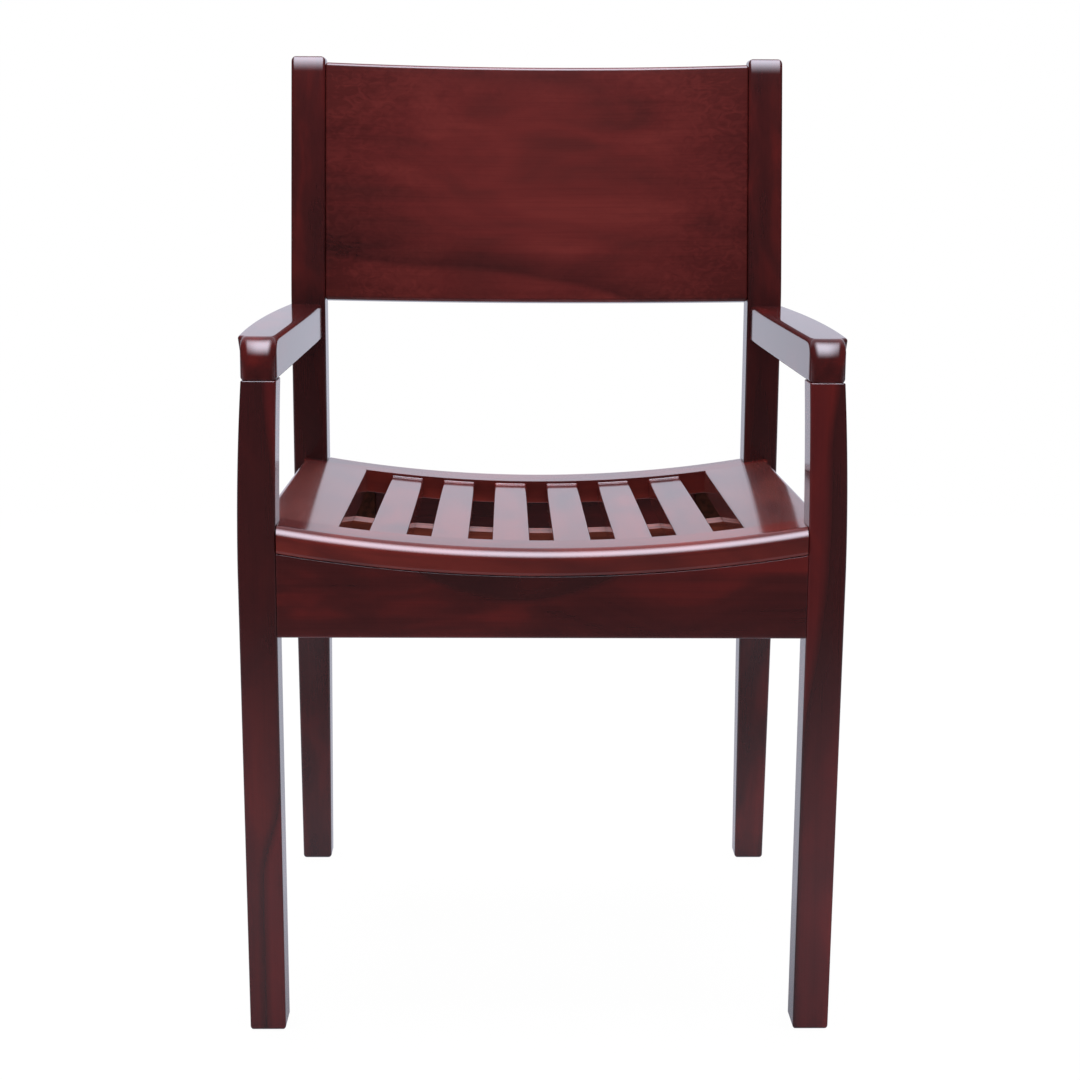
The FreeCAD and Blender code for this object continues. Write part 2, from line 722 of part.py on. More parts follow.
def seat_slat(name, place):
    """One slat of the seat, planed down towards the rear, let into two boards and glued on the batten."""
    body = new_body(name)
    low, high = slat_edges(place)
    length = f"({REAR_BOARD_FRONT} - {FRONT_BOARD_REAR})"
    pad(body, "XZ_Plane", [band(low, high, "0", "board_thickness")], FRONT_BOARD_REAR, length)
    fall = f"atan((slat_rear_drop - slat_front_drop) / {length})"
    dished_cut(body, FRONT_BOARD_REAR, "0", fall, "slat_front_drop")
    depth = number("board_thickness")

    def is_top(edge):
        extent, centre = edge.BoundBox, edge.BoundBox.Center
        upright = extent.XLength < 1e-4 and extent.YLength > number(length) / 2
        return upright and centre.z > number(dish(str(centre.x))) - depth / 2

    ease(body, "slat_edge_round", is_top)
    tongues(body, low, high)
    on_seat(body)
    return body


def rail_ends(reach):
    """The tenons at the two ends of a rail across the chair."""
    return [
        box(
            mirrored(side, f"{reach} - tenon_length"), mirrored(side, f"{reach} + tenon_length"),
            TENON_LOW, TENON_HIGH,
        )
        for side in SIDES.values()
    ]


def front_apron(name):
    """The front rail, flush with the legs, with its top cut to the dish of the seat."""
    body = new_body(name)
    drift = f"(leg_foot_draw_in * (1 - {APRON_BOTTOM} / {LEG_WAIST}))"
    low, high = f"({LEG_IN} - {drift} - joint_gap)", f"({LEG_IN} - joint_gap)"
    outline = [
        (f"-{low}", APRON_BOTTOM),
        (low, APRON_BOTTOM),
        (high, LEG_WAIST),
        (high, "seat_height + board_thickness"),
        (f"-{high}", "seat_height + board_thickness"),
        (f"-{high}", LEG_WAIST),
    ]
    pad(body, "XZ_Plane", [outline], "0", "front_apron_thickness")
    bed(body)
    start = "(front_apron_thickness - tenon_thickness) / 2"
    pad(body, "XZ_Plane", rail_ends(LEG_IN), start, "tenon_thickness")
    return body


def rear_apron(name):
    """The rear rail between the posts."""
    body = new_body(name)
    half = f"({POST_IN} - joint_gap)"
    outline = box(f"-{half}", half, APRON_BOTTOM, "seat_height + board_thickness")
    pad(body, "XZ_Plane", [outline], REAR_APRON_FRONT, "rear_apron_thickness")
    bed(body)
    start = f"{REAR_APRON_FRONT} + (rear_apron_thickness - tenon_thickness) / 2"
    pad(body, "XZ_Plane", rail_ends(POST_IN), start, "tenon_thickness")
    return body


def side_apron(name, side):
    """A side rail from a front leg to a back post, with a socket for the batten."""
    body = new_body(name)
    outline = box("leg_depth", "post_setback", APRON_BOTTOM, "seat_height + board_thickness")
    start = SIDE_APRON_IN if side > 0 else f"-{SIDE_APRON_OUT}"
    pad(body, "YZ_Plane", [outline], start, "side_apron_thickness")
    bed(body)
    ends = [
        box("leg_depth - tenon_length", "leg_depth + tenon_length", TENON_LOW, TENON_HIGH),
        box("post_setback - tenon_length", "post_setback + tenon_length", TENON_LOW, TENON_HIGH),
    ]
    start = SIDE_TENON_IN if side > 0 else f"-{SIDE_TENON_OUT}"
    pad(body, "YZ_Plane", ends, start, "tenon_thickness")
    socket = box(
        "batten_setback - batten_tenon_thickness / 2", "batten_setback + batten_tenon_thickness / 2",
        BATTEN_TENON_LOW, f"{BATTEN_TENON_LOW} + batten_tenon_height",
    )
    start = SIDE_APRON_IN if side > 0 else f"-({SIDE_APRON_IN} + batten_tenon_length + end_gap)"
    pocket(body, "YZ_Plane", [socket], start, "batten_tenon_length + end_gap")
    return body


def slat_batten(name):
    """The cross batten that carries the slats at mid depth, with its top cut to the dish."""
    body = new_body(name)
    half = f"({SIDE_APRON_IN} - joint_gap)"
    outline = box(f"-{half}", half, BATTEN_BOTTOM, "seat_height + board_thickness")
    pad(body, "XZ_Plane", [outline], "batten_setback - batten_width / 2", "batten_width")
    bed(body)
    reach = f"({SIDE_APRON_IN} + batten_tenon_length)"
    ends = [
        box(
            mirrored(side, f"{half} - overrun"), mirrored(side, reach),
            BATTEN_TENON_LOW, f"{BATTEN_TENON_LOW} + batten_tenon_height",
        )
        for side in SIDES.values()
    ]
    pad(body, "XZ_Plane", ends, "batten_setback - batten_tenon_thickness / 2", "batten_tenon_thickness")
    return body


def corner_block(name, side, front):
    """A glued block in a corner of the frame, under the seat."""
    body = new_body(name)
    outer = f"({SIDE_APRON_IN} - joint_gap)"
    if front:
        wall = "(front_apron_thickness + joint_gap)"
        tip = f"({wall} + block_tip)"
        far = f"({wall} + block_reach)"
        corner = [(outer, wall)]
    else:
        wall = f"({REAR_APRON_FRONT} - joint_gap)"
        tip = f"({wall} - block_tip)"
        far = f"({wall} - block_reach)"
        step = "(post_setback - joint_gap)"
        inner = f"({POST_IN} - joint_gap)"
        corner = [(outer, step), (inner, step), (inner, wall)]
    plan = corner + [
        (f"({outer} - block_reach)", wall),
        (f"({outer} - block_reach)", tip),
        (f"({outer} - block_tip)", far),
        (outer, far),
    ]
    outline = [(mirrored(side, x), y) for x, y in plan]
    pad(body, "XY_Plane", [outline], BLOCK_BOTTOM, f"seat_height + board_thickness - {BLOCK_BOTTOM}")
    bed(body)
    spot = screw_spots(side)[0 if front else 1]
    drill(body, [spot], "screw_diameter + 2 * hole_gap", f"{BLOCK_BOTTOM} - overrun", "seat_height")
    return body


def screws(name, spots):
    """Pan-head screws that stand upright: a list of x, y, seat of the head and length."""
    heads = []
    for place, (x, y, seat, length) in enumerate(spots, start=1):
        shank = doc.addObject("Part::Cylinder", f"{name}_shank_{place}")
        shank.setExpression("Radius", ref("screw_diameter / 2"))
        shank.setExpression("Height", ref(length))
        head = doc.addObject("Part::Cylinder", f"{name}_head_{place}")
        head.setExpression("Radius", ref("screw_head_diameter / 2"))
        head.setExpression("Height", ref("screw_head_height"))
        for piece, foot in ((shank, seat), (head, f"{seat} - screw_head_height")):
            piece.setExpression(".Placement.Base.x", ref(x))
            piece.setExpression(".Placement.Base.y", ref(y))
            piece.setExpression(".Placement.Base.z", ref(foot))
        screw = doc.addObject("Part::Fuse", f"{name}_{place}")
        screw.Base = head
        screw.Tool = shank
        heads.append(screw)
    group = doc.addObject("Part::Compound", name)
    group.Label = name
    group.Links = heads
    doc.recompute()
    return group


def seat_screw_rows():
    """The screws up through the corner blocks into the side boards."""
    rows = []
    for side in SIDES.values():
        for x, y in screw_spots(side):
            under = f"(seat_height + {dish(x, 'board_thickness')} - ({y}) * tan(seat_slope))"
            rows.append((x, y, BLOCK_BOTTOM, f"{under} - {BLOCK_BOTTOM} + screw_bite"))
    return rows


def build():
    """Makes every piece of the chair."""
    pieces = []
    for word, side in SIDES.items():
        pieces.append(front_leg(f"front_leg_{word}", side))
        pieces.append(back_post(f"back_post_{word}", side))
        pieces.append(arm(f"arm_{word}", side))
        pieces.append(side_apron(f"side_apron_{word}", side))
        pieces.append(seat_side_board(f"seat_side_board_{word}", side))
        pieces.append(corner_block(f"corner_block_front_{word}", side, True))
        pieces.append(corner_block(f"corner_block_rear_{word}", side, False))
    pieces.append(back_panel("back_panel"))
    pieces.append(front_apron("front_apron"))
    pieces.append(rear_apron("rear_apron"))
    pieces.append(seat_front_board("seat_front_board"))
    pieces.append(seat_rear_board("seat_rear_board"))
    for place in range(SLATS):
        pieces.append(seat_slat(f"seat_slat_{place + 1}", place))
    pieces.append(slat_batten("slat_batten"))
    pieces.append(screws("seat_screws", seat_screw_rows()))
    return pieces


def centre(pieces):
    """Moves the whole chair so that the origin is under the middle of its depth."""
    panel = next(piece for piece in pieces if piece.Label == "back_panel")
    panel.setExpression(".Placement.Base.y", ref(PANEL_FRONT))
    doc.recompute()
    low = min(piece.Shape.BoundBox.YMin for piece in pieces)
    high = max(piece.Shape.BoundBox.YMax for piece in pieces)
    row = len(SIZES) + 1
    sheet.set(f"A{row}", "middle_depth")
    sheet.set(f"B{row}", str((low + high) / 2))
    sheet.setAlias(f"B{row}", "middle_depth")
    for piece in pieces:
        start = ref(PANEL_FRONT) if piece is panel else "0"
        piece.setExpression(".Placement.Base.y", f"{start} - Sizes.middle_depth")
    doc.recompute()


def check(pieces):
    """Stops if any object failed or any piece is not a sound solid."""
    for item in doc.Objects:
        if "Invalid" in item.State or "Error" in item.State:
            raise RuntimeError(f"{item.Label} failed: {item.State}")
    for piece in pieces:
        if piece.Shape.isNull() or not piece.Shape.isValid() or not piece.Shape.Solids:
            raise RuntimeError(f"{piece.Label} is not a sound solid")


chair = build()
centre(chair)
check(chair)
os.makedirs("parts", exist_ok=True)
for piece in chair:
    piece.Shape.exportStep(f"parts/{piece.Label}.step")
    print(piece.Label, len(piece.Shape.Solids), round(piece.Shape.Volume / 1000, 2))
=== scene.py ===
"""Dresses a slatted armchair: each board becomes an eased, gloss-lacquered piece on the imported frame."""
import math

import bmesh
import bpy
import numpy as np
from bpy.props import FloatProperty, FloatVectorProperty, PointerProperty, StringProperty
from mathutils import Matrix, Vector


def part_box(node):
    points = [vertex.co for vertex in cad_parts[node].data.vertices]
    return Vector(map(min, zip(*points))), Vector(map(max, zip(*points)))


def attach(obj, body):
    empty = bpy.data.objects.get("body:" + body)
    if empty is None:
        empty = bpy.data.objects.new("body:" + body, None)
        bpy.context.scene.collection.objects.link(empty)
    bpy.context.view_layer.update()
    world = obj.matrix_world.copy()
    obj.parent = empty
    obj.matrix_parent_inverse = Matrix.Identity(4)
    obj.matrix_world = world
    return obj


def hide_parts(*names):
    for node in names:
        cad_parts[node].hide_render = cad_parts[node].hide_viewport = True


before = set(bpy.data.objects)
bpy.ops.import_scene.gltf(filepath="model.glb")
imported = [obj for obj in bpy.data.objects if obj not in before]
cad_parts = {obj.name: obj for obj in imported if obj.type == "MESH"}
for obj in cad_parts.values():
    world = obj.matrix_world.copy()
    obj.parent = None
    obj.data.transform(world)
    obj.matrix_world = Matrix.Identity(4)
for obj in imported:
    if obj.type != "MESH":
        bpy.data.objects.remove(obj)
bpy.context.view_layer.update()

bl_info = {
    "name": "Slatted Armchair",
    "version": (1, 0, 0),
    "blender": (4, 5, 0),
    "location": "View3D > Sidebar > Armchair",
    "description": "Lacquered wooden armchair with a dished slatted seat",
    "category": "Add Mesh",
}

MM = 0.001
ARC_STEPS = 10
SHARP_ANGLE = math.radians(40)
LEAST_EASE = 0.2 * MM
BED_EASE = 0.5 * MM
HEART_LEAD = 20 * MM
HEART_REACH = 120 * MM
SENSOR_WIDTH = 36
SIDES = {"left": -1, "right": 1}
SLATS = 6
FRONT_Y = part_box("front_leg_left")[0].y
LEG_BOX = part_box("front_leg_right")
LEG_DEPTH = LEG_BOX[1].y - LEG_BOX[0].y
POST_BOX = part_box("back_post_right")
ARM_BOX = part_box("arm_right")
# Each board's figure comes from a place of its own in the log, so that no two boards look alike.
LOG_STEP = np.array([1.7, 0.43, 0.29])
LOG_PLACES = {
    "front_leg_left": 1, "front_leg_right": 2, "back_post_left": 3, "back_post_right": 4, "arm_left": 5,
    "arm_right": 6, "back_panel": 7, "seat_front_board": 8, "seat_rear_board": 9, "seat_side_board_left": 10,
    "seat_side_board_right": 11, "seat_slat_1": 12, "seat_slat_2": 13, "seat_slat_3": 14, "seat_slat_4": 15,
    "seat_slat_5": 16, "seat_slat_6": 17, "rear_apron": 19, "side_apron_left": 20, "side_apron_right": 21,
    "front_apron": 23,
}


def length(name, millimetres, description):
    """A property for a length, given in millimetres and kept in Blender's metres."""
    metres = millimetres * MM
    return FloatProperty(name=name, description=description, default=metres, unit="LENGTH", precision=5)


def location(name, millimetres, description):
    """A property for a place, given in millimetres and kept in Blender's metres."""
    metres = [value * MM for value in millimetres]
    return FloatVectorProperty(
        name=name, description=description, default=metres, unit="LENGTH", precision=5,
    )


def angle(name, degrees, description):
    """A property for an angle, given in degrees."""
    return FloatProperty(name=name, description=description, default=math.radians(degrees), unit="ROTATION")


def share(name, value, description):
    """A property for a plain number."""
    return FloatProperty(name=name, description=description, default=value)


def colour(name, code, description):
    """A property for a stain or coat colour, given as an sRGB hex value."""
    return StringProperty(name=name, description=description, default=code)


STAINS = {
    "frame": ("legs, posts, arms and rails", "#501615", "#3A1212", "#2F0F10"),
    "panel": ("the back panel", "#622422", "#591F1E", "#4B1C1B"),
    "seat": ("the seat", "#621F1A", "#501815", "#3A1313"),
    "leg": ("the front legs", "#561816", "#491516", "#401415"),
    # The side boards' stain is lighter and redder than the seat's, as a painted reflection of the posts in
    # them.
    "side": ("the seat's side boards", "#64302C", "#582825", "#482020"),
}
TONES = {"light": "the open grain", "mid": "most", "dark": "the close grain"}


def stains():
    """Properties for the tones of stain on each group of boards."""
    return {
        f"{board}_{tone}": colour(f"{board} {tone}".capitalize(), code, f"Stain on {where} of {boards}")
        for board, (boards, *codes) in STAINS.items()
        for (tone, where), code in zip(TONES.items(), codes)
    }


class ArmchairSizes(bpy.types.PropertyGroup):
    """Sizes of the boards. Depths are counted from the front face of the front legs."""

    leg_width: length("Leg width", 34, "Width of a front leg at its widest, by the seat")
    leg_waist: length("Leg waist", 430, "Height at which a front leg is widest")
    leg_foot_draw_out: length("Foot draw, outside", 2.5, "How far the outside of a leg draws in at the foot")
    leg_foot_draw_in: length("Foot draw, inside", 1.1, "How far the inside of a leg moves in at the foot")
    leg_top_draw_out: length("Top draw, outside", 6.2, "How far the outside of a leg draws in under the arm")
    leg_top_draw_in: length("Top draw, inside", 3.3, "How far the inside of a leg moves in under the arm")
    leg_top_ease: length("Leg top ease", 0.9, "Rounding of the top of a front leg, under the arm")
    foot_round: length("Foot round", 4, "Rounding of the edges on which the chair stands")
    frame_ease: length("Frame ease", 2.2, "Rounding of the long edges of legs, posts and rails")
    joint_ease: length("Joint ease", 0.8, "Rounding of an edge where two pieces meet")
    post_width: length("Post width", 36.6, "Width of a back post")
    post_depth: length("Post depth", 38, "Depth of a back post at the seat")
    post_setback: length("Post setback", 433, "Depth at which the posts begin, at the seat")
    post_knee: length("Post knee", 345, "Height below which a post rakes back")
    post_foot_rake: length("Foot rake", 30, "How far the foot of a post stands back")
    post_foot_depth: length("Post foot depth", 30, "Depth of a post at its foot")
    post_foot_taper: length("Post foot taper", 4.6, "How far the inside of a post draws away at the foot")
    post_bend: length("Post bend", 650, "Height above which a post leans back")
    post_bend_radius: length("Bend radius", 180, "Radius of the bends in a post")
    post_top_depth: length("Post top depth", 29, "Depth of a post at its top")
    post_top_height: length("Post top height", 16, "Height over which the top of a post rounds over")
    post_top_round: length("Post top round", 4, "How far the front of a post rounds over at its top")
    post_top_side: length("Post top side", 5, "Rounding of the sides of a post at its top")
    post_ease: length("Post ease", 3.5, "Rounding of the long edges of a post")
    recline: angle("Recline", 9.6, "Lean of the back")
    arm_shoulder: length("Arm shoulder", 5, "How far the outside of an arm swells behind its nose")
    arm_shoulder_start: length("Shoulder start", 19, "Depth at which an arm begins to swell to its shoulder")
    arm_shoulder_depth: length("Shoulder depth", 26, "Depth at which an arm has swelled to its shoulder")
    arm_bow: length("Arm bow", 6, "How far the outside of an arm bows out behind its shoulder")
    arm_nose: length("Arm nose", 16, "Rounding of the top of an arm over the leg")
    arm_nose_height: length("Arm nose height", 26, "Height over which an arm's nose rounds over")
    arm_nose_side: length("Arm nose side", 8, "Rounding of the sides of an arm's nose")
    arm_nose_bulge: length("Arm nose bulge", 2.5, "How far the middle of an arm's nose stands out")
    arm_nose_flare: length("Arm nose flare", 1, "How far an arm's nose stands out past the leg")
    arm_nose_under: length("Arm nose underside", 1.2, "Rounding of the lower edge of an arm's nose")
    arm_nose_depth: length("Arm nose depth", 30, "Depth over which an arm's corners sharpen behind its nose")
    arm_ease: length("Arm ease", 3, "Rounding of the long edges of an arm")
    arm_inner_ease: length("Arm inner ease", 5, "Rounding of an arm's upper edge on the sitter's side")
    arm_rear_step: length("Arm rear step", 2.5, "How far an arm stands out past the post")
    arm_rear_inset: length("Arm rear inset", 3, "How far an arm stands in from the inside of the post")
    panel_base: length("Panel base", 643, "Height of the back panel's lower edge at its ends")
    panel_height: length("Panel height", 255, "Height of the back panel along its lean")
    panel_thickness: length("Panel thickness", 18, "Thickness of the back panel")
    panel_bow: length("Panel bow", 20, "How far the back panel bows to the rear")
    panel_setback: length("Panel setback", 2, "How far the panel lies behind the front of the posts")
    panel_ease: length("Panel ease", 4, "Rounding of the panel's long edges")
    panel_end_ease: length("Panel end ease", 3, "Rounding of the panel's ends, by the posts")
    seat_height: length("Seat height", 452, "Height of the seat's front edge at its middle")
    seat_slope: angle("Seat slope", 0.57, "Fall of the seat to the rear")
    seat_width: length("Seat width", 504, "Width of the seat")
    seat_nosing: length("Seat nosing", 2, "How far the seat stands past the front legs")
    seat_rear_inset: length("Seat rear inset", 2, "How far the seat ends before the back of the posts")
    seat_gap: length("Seat gap", 0.5, "Gap round the legs and posts")
    dish_radius: length("Dish radius", 1390, "Radius of the hollow across the seat")
    board_thickness: length("Board thickness", 24, "Thickness of the seat boards")
    front_board: length("Front board", 49, "Depth of the front seat board")
    rear_board: length("Rear board", 53, "Depth of the rear seat board")
    side_board: length("Side board", 68.2, "Width of a side seat board")
    nose_top: length("Nosing, top", 10.5, "Rounding of the nosing's upper edge")
    nose_bottom: length("Nosing, bottom", 3.5, "Rounding of the nosing's lower edge")
    board_ease: length("Board ease", 4, "Rounding of the outer edges of the seat")
    slat_width: length("Slat width", 34.1, "Width of a slat")
    slat_pitch: length("Slat pitch", 55.8, "Distance from slat to slat")
    slat_ease: length("Slat ease", 2, "Rounding of a slat's edges")
    slat_front_drop: length("Slat front drop", 0.3, "How far a slat lies under the front board")
    slat_rear_drop: length("Slat rear drop", 4, "How far a slat lies under the rear board")
    lacquer_fillet: length("Lacquer fillet", 1.6, "Lacquer gathered in the corner behind a slat")
    apron_bottom: length("Apron bottom", 371.5, "Height of the rails' lower edges")
    front_apron: length("Front apron", 22, "Thickness of the front rail")
    side_apron: length("Side apron", 18, "Thickness of a side rail")
    rear_apron: length("Rear apron", 20, "Thickness of the rear rail")
    rear_apron_inset: length("Rear apron inset", 16, "How far the rear rail lies behind the posts' fronts")
    seat_overhang: length("Seat overhang", 2, "How far the seat stands past the side rails")
    bed_gap: length("Bed gap", 0.3, "Gap between the rails and the seat")


class ArmchairFinish(bpy.types.PropertyGroup):
    """Colours and gloss of the finish."""

    __annotations__.update(stains())
    # The heartwood stain also serves as painted shade on the back posts and under the nosing on the front
    # apron.
    heartwood: colour("Heartwood", "#281011", "Stain on the dark heart of the log")
    batten_light: colour("Batten, light", "#6A3024", "Thin stain on the cross batten")
    batten_dark: colour("Batten, dark", "#4A2019", "Dark grain in the cross batten")
    # The corner blocks' stain is darkened as painted shade under the seat.
    block_light: colour("Corner blocks, light", "#3A1C15", "Thin stain on the corner blocks")
    block_dark: colour("Corner blocks, dark", "#24120E", "Dark grain in the corner blocks")
    zinc: colour("Zinc", "#B9B8B2", "Plating on the screws")
    coat_roughness: share("Lacquer roughness", 0.09, "Roughness of the clear gloss lacquer")


class ArmchairStage(bpy.types.PropertyGroup):
    """Floor, light and camera."""

    floor_colour: colour("Floor", "#F4F4F4", "Pale floor")
    backdrop_colour: colour("Backdrop", "#ECEEFF", "Cool white of the backdrop in gloss")
    floor_width: length("Floor width", 12000, "Width of the floor")
    floor_front: length("Floor front", 4000, "How far the floor reaches in front of the chair's middle")
    floor_rear: length("Floor rear", 2500, "How far the floor reaches behind the chair's middle")
    ambient: share("Ambient light", 0.6, "Soft light from all round")
    room_light: share("Room light", 0.08, "Light of the room behind the camera, as gloss shows it")
    backdrop_light: share("Backdrop light", 0.82, "Light of the backdrop behind the chair, as gloss shows it")
    window_light: share("Window light", 16, "Light of the high window behind the camera, as gloss shows it")
    top_light: share("Top light", 150, "Power of the lamp above, in watts")
    top_lamp: location("Top lamp", (0, 300, 2900), "Place of the lamp above")
    top_lamp_size: length("Top lamp size", 2200, "Side of the lamp above")
    front_light: share("Front light", 22, "Power of the lamp behind the camera, in watts")
    front_lamp: location("Front lamp", (-800, -3400, 2400), "Place of the lamp behind the camera")
    front_lamp_size: length("Front lamp size", 2400, "Side of the lamp behind the camera")
    lens: share("Lens", 65.73, "Focal length on a 36 mm wide sensor, in millimetres")
    camera: location(
        "Camera", (-31.9, -1706.9, 781.4), "Place of the camera, from the front face of the front legs",
    )
    yaw: angle("Yaw", 0.988, "Turn of the camera to the right")
    pitch: angle("Pitch", 10.638, "Tilt of the camera down")
    roll: angle("Roll", 0.334, "Roll of the camera")


def sizes():
    """The sizes set in the scene."""
    return bpy.context.scene.armchair_sizes


def finish():
    """The finish set in the scene."""
    return bpy.context.scene.armchair_finish


def linear(code):
    """Turns an sRGB hex value into the linear colour that shaders take."""
    values = np.array([int(code[place:place + 2], 16) for place in (1, 3, 5)]) / 255
    low, high = values / 12.92, ((values + 0.055) / 1.055) ** 2.4
    return (*np.where(values <= 0.04045, low, high), 1.0)


def round_off(distance, radius):
    """How far a side has stepped in, at a distance from an end that a quarter circle rounds over.

    radius - sqrt(radius^2 - (radius - distance)^2), and nothing further in than the radius.
    """
    short = np.clip(radius - distance, 0, radius)
    return radius - np.sqrt(radius ** 2 - short ** 2)


def stations(low, high, low_round, high_round, steps):
    """Places along a board: on the rounded ends at even angles of their quarter circles, and even between."""
    turn = np.linspace(0, math.pi / 2, ARC_STEPS + 1)
    start = low + low_round * (1 - np.cos(turn))
    end = high - high_round * (1 - np.cos(turn[::-1]))
    return np.concatenate([start, np.linspace(start[-1], end[0], steps + 1)[1:-1], end])


def eased_ring(across, through, radii, flats):
    """Rounded rectangles, one for each station, as arrays of stations by points.

    Each corner is a quarter circle whose centre stands its radius in from both sides, and the flats between
    two corners are divided evenly.
    """
    turn = np.linspace(0, math.pi / 2, ARC_STEPS + 1)
    corners = ((0, 0, math.pi), (1, 0, 1.5 * math.pi), (1, 1, 0), (0, 1, 0.5 * math.pi))
    arcs = []
    for (i, j, start), radius in zip(corners, radii):
        radius = radius[:, None]
        wide = across[i][:, None] + radius * (1 - 2 * i + np.cos(start + turn))
        deep = through[j][:, None] + radius * (1 - 2 * j + np.sin(start + turn))
        arcs.append(np.stack([wide, deep], axis=-1))
    ring = []
    for arc, after, flat in zip(arcs, arcs[1:] + arcs[:1], flats):
        step = (np.arange(1, flat) / flat)[None, :, None]
        ring += [arc, arc[:, -1:] + (after[:, :1] - arc[:, -1:]) * step]
    return np.concatenate(ring, axis=1)


def swept_board(node, along, across, through, radii, place, flats=(2, 2, 2, 2), heart=None, burl=None):
    """A node's board: a rounded rectangle carried along its length, with closed ends.

    along holds the stations, across and through the low and high sides of the section at each of them, and
    radii its four corner radii. place turns these three coordinates into X, Y and Z. The point attribute
    "grain" keeps the board's own coordinates, moved to its place in the log, so that the figure of the wood
    follows the board. heart gives the distance past the edge of the dark heartwood, kept as a share of its
    reach, and burl how curly the figure is. On the back posts and the front apron, heart also lays the dark
    stain as painted shade.
    """
    name = f"{node}_wood"
    rows = len(along)
    groups = (across, through, radii)
    across, through, radii = (
        [np.broadcast_to(np.asarray(side, float), rows) for side in group] for group in groups
    )
    ring = eased_ring(across, through, radii, flats)
    count = ring.shape[1]
    local = np.concatenate([np.repeat(along[:, None, None], count, axis=1), ring], axis=-1).reshape(-1, 3)
    points = np.stack(place(*local.T), axis=-1)
    index = np.arange(rows * count).reshape(rows, count)
    after = np.roll(index, -1, axis=1)
    quads = np.stack([index[:-1], after[:-1], after[1:], index[1:]], axis=-1).reshape(-1, 4)
    mesh = bpy.data.meshes.new(name)
    mesh.from_pydata(points.tolist(), [], quads.tolist() + [index[0, ::-1].tolist(), index[-1].tolist()])
    grain = mesh.attributes.new("grain", "FLOAT_VECTOR", "POINT")
    grain.data.foreach_set("vector", (local + LOG_STEP * LOG_PLACES[node]).astype(np.float32).ravel())
    none = np.zeros(len(local))
    fields = {
        "heart": np.clip((heart(*local.T) + HEART_LEAD) / HEART_REACH, 0, 1) if heart else none,
        "burl": burl(*local.T) if burl else none,
    }
    for field, values in fields.items():
        layer = mesh.attributes.new(field, "FLOAT", "POINT")
        layer.data.foreach_set("value", values.astype(np.float32))
    return closed_piece(name, mesh)


def closed_piece(name, mesh):
    """Turns a closed mesh's faces outwards, smooths it between its sharp edges and puts it in the scene."""
    shell = bmesh.new()
    shell.from_mesh(mesh)
    bmesh.ops.recalc_face_normals(shell, faces=shell.faces)
    shell.to_mesh(mesh)
    shell.free()
    mesh.shade_smooth()
    mesh.set_sharp_from_angle(angle=SHARP_ANGLE)
    piece = bpy.data.objects.new(name, mesh)
    bpy.context.scene.collection.objects.link(piece)
    normals = piece.modifiers.new("Flat faces", "WEIGHTED_NORMAL")
    normals.keep_sharp = True
    return piece


def add_node(tree, kind, inputs=None, stops=(), **settings):
    """Adds a shader node with its settings and links.

    kind is the node's type without its first word, ShaderNode. An input is a value, or a pair of a node and
    its output's name. stops are a ramp's places and colours.
    """
    node = tree.nodes.new(f"ShaderNode{kind}")
    for name, value in settings.items():
        setattr(node, name, value)
    for place, (position, value) in enumerate(stops):
        elements = node.color_ramp.elements
        element = elements[place] if place < 2 else elements.new(position)
        element.position = position
        element.color = value
    for name, value in (inputs or {}).items():
        if isinstance(value, tuple) and isinstance(value[0], bpy.types.Node):
            tree.links.new(value[0].outputs[value[1]], node.inputs[name])
        else:
            node.inputs[name].default_value = value
    return node


def new_tree(name):
    """A new material and its node tree, still empty."""
    material = bpy.data.materials.new(name)
    material.use_nodes = True
    material.node_tree.nodes.clear()
    return material, material.node_tree


def grey(value):
    """A grey for a ramp that gives a plain number."""
    return value, value, value, 1


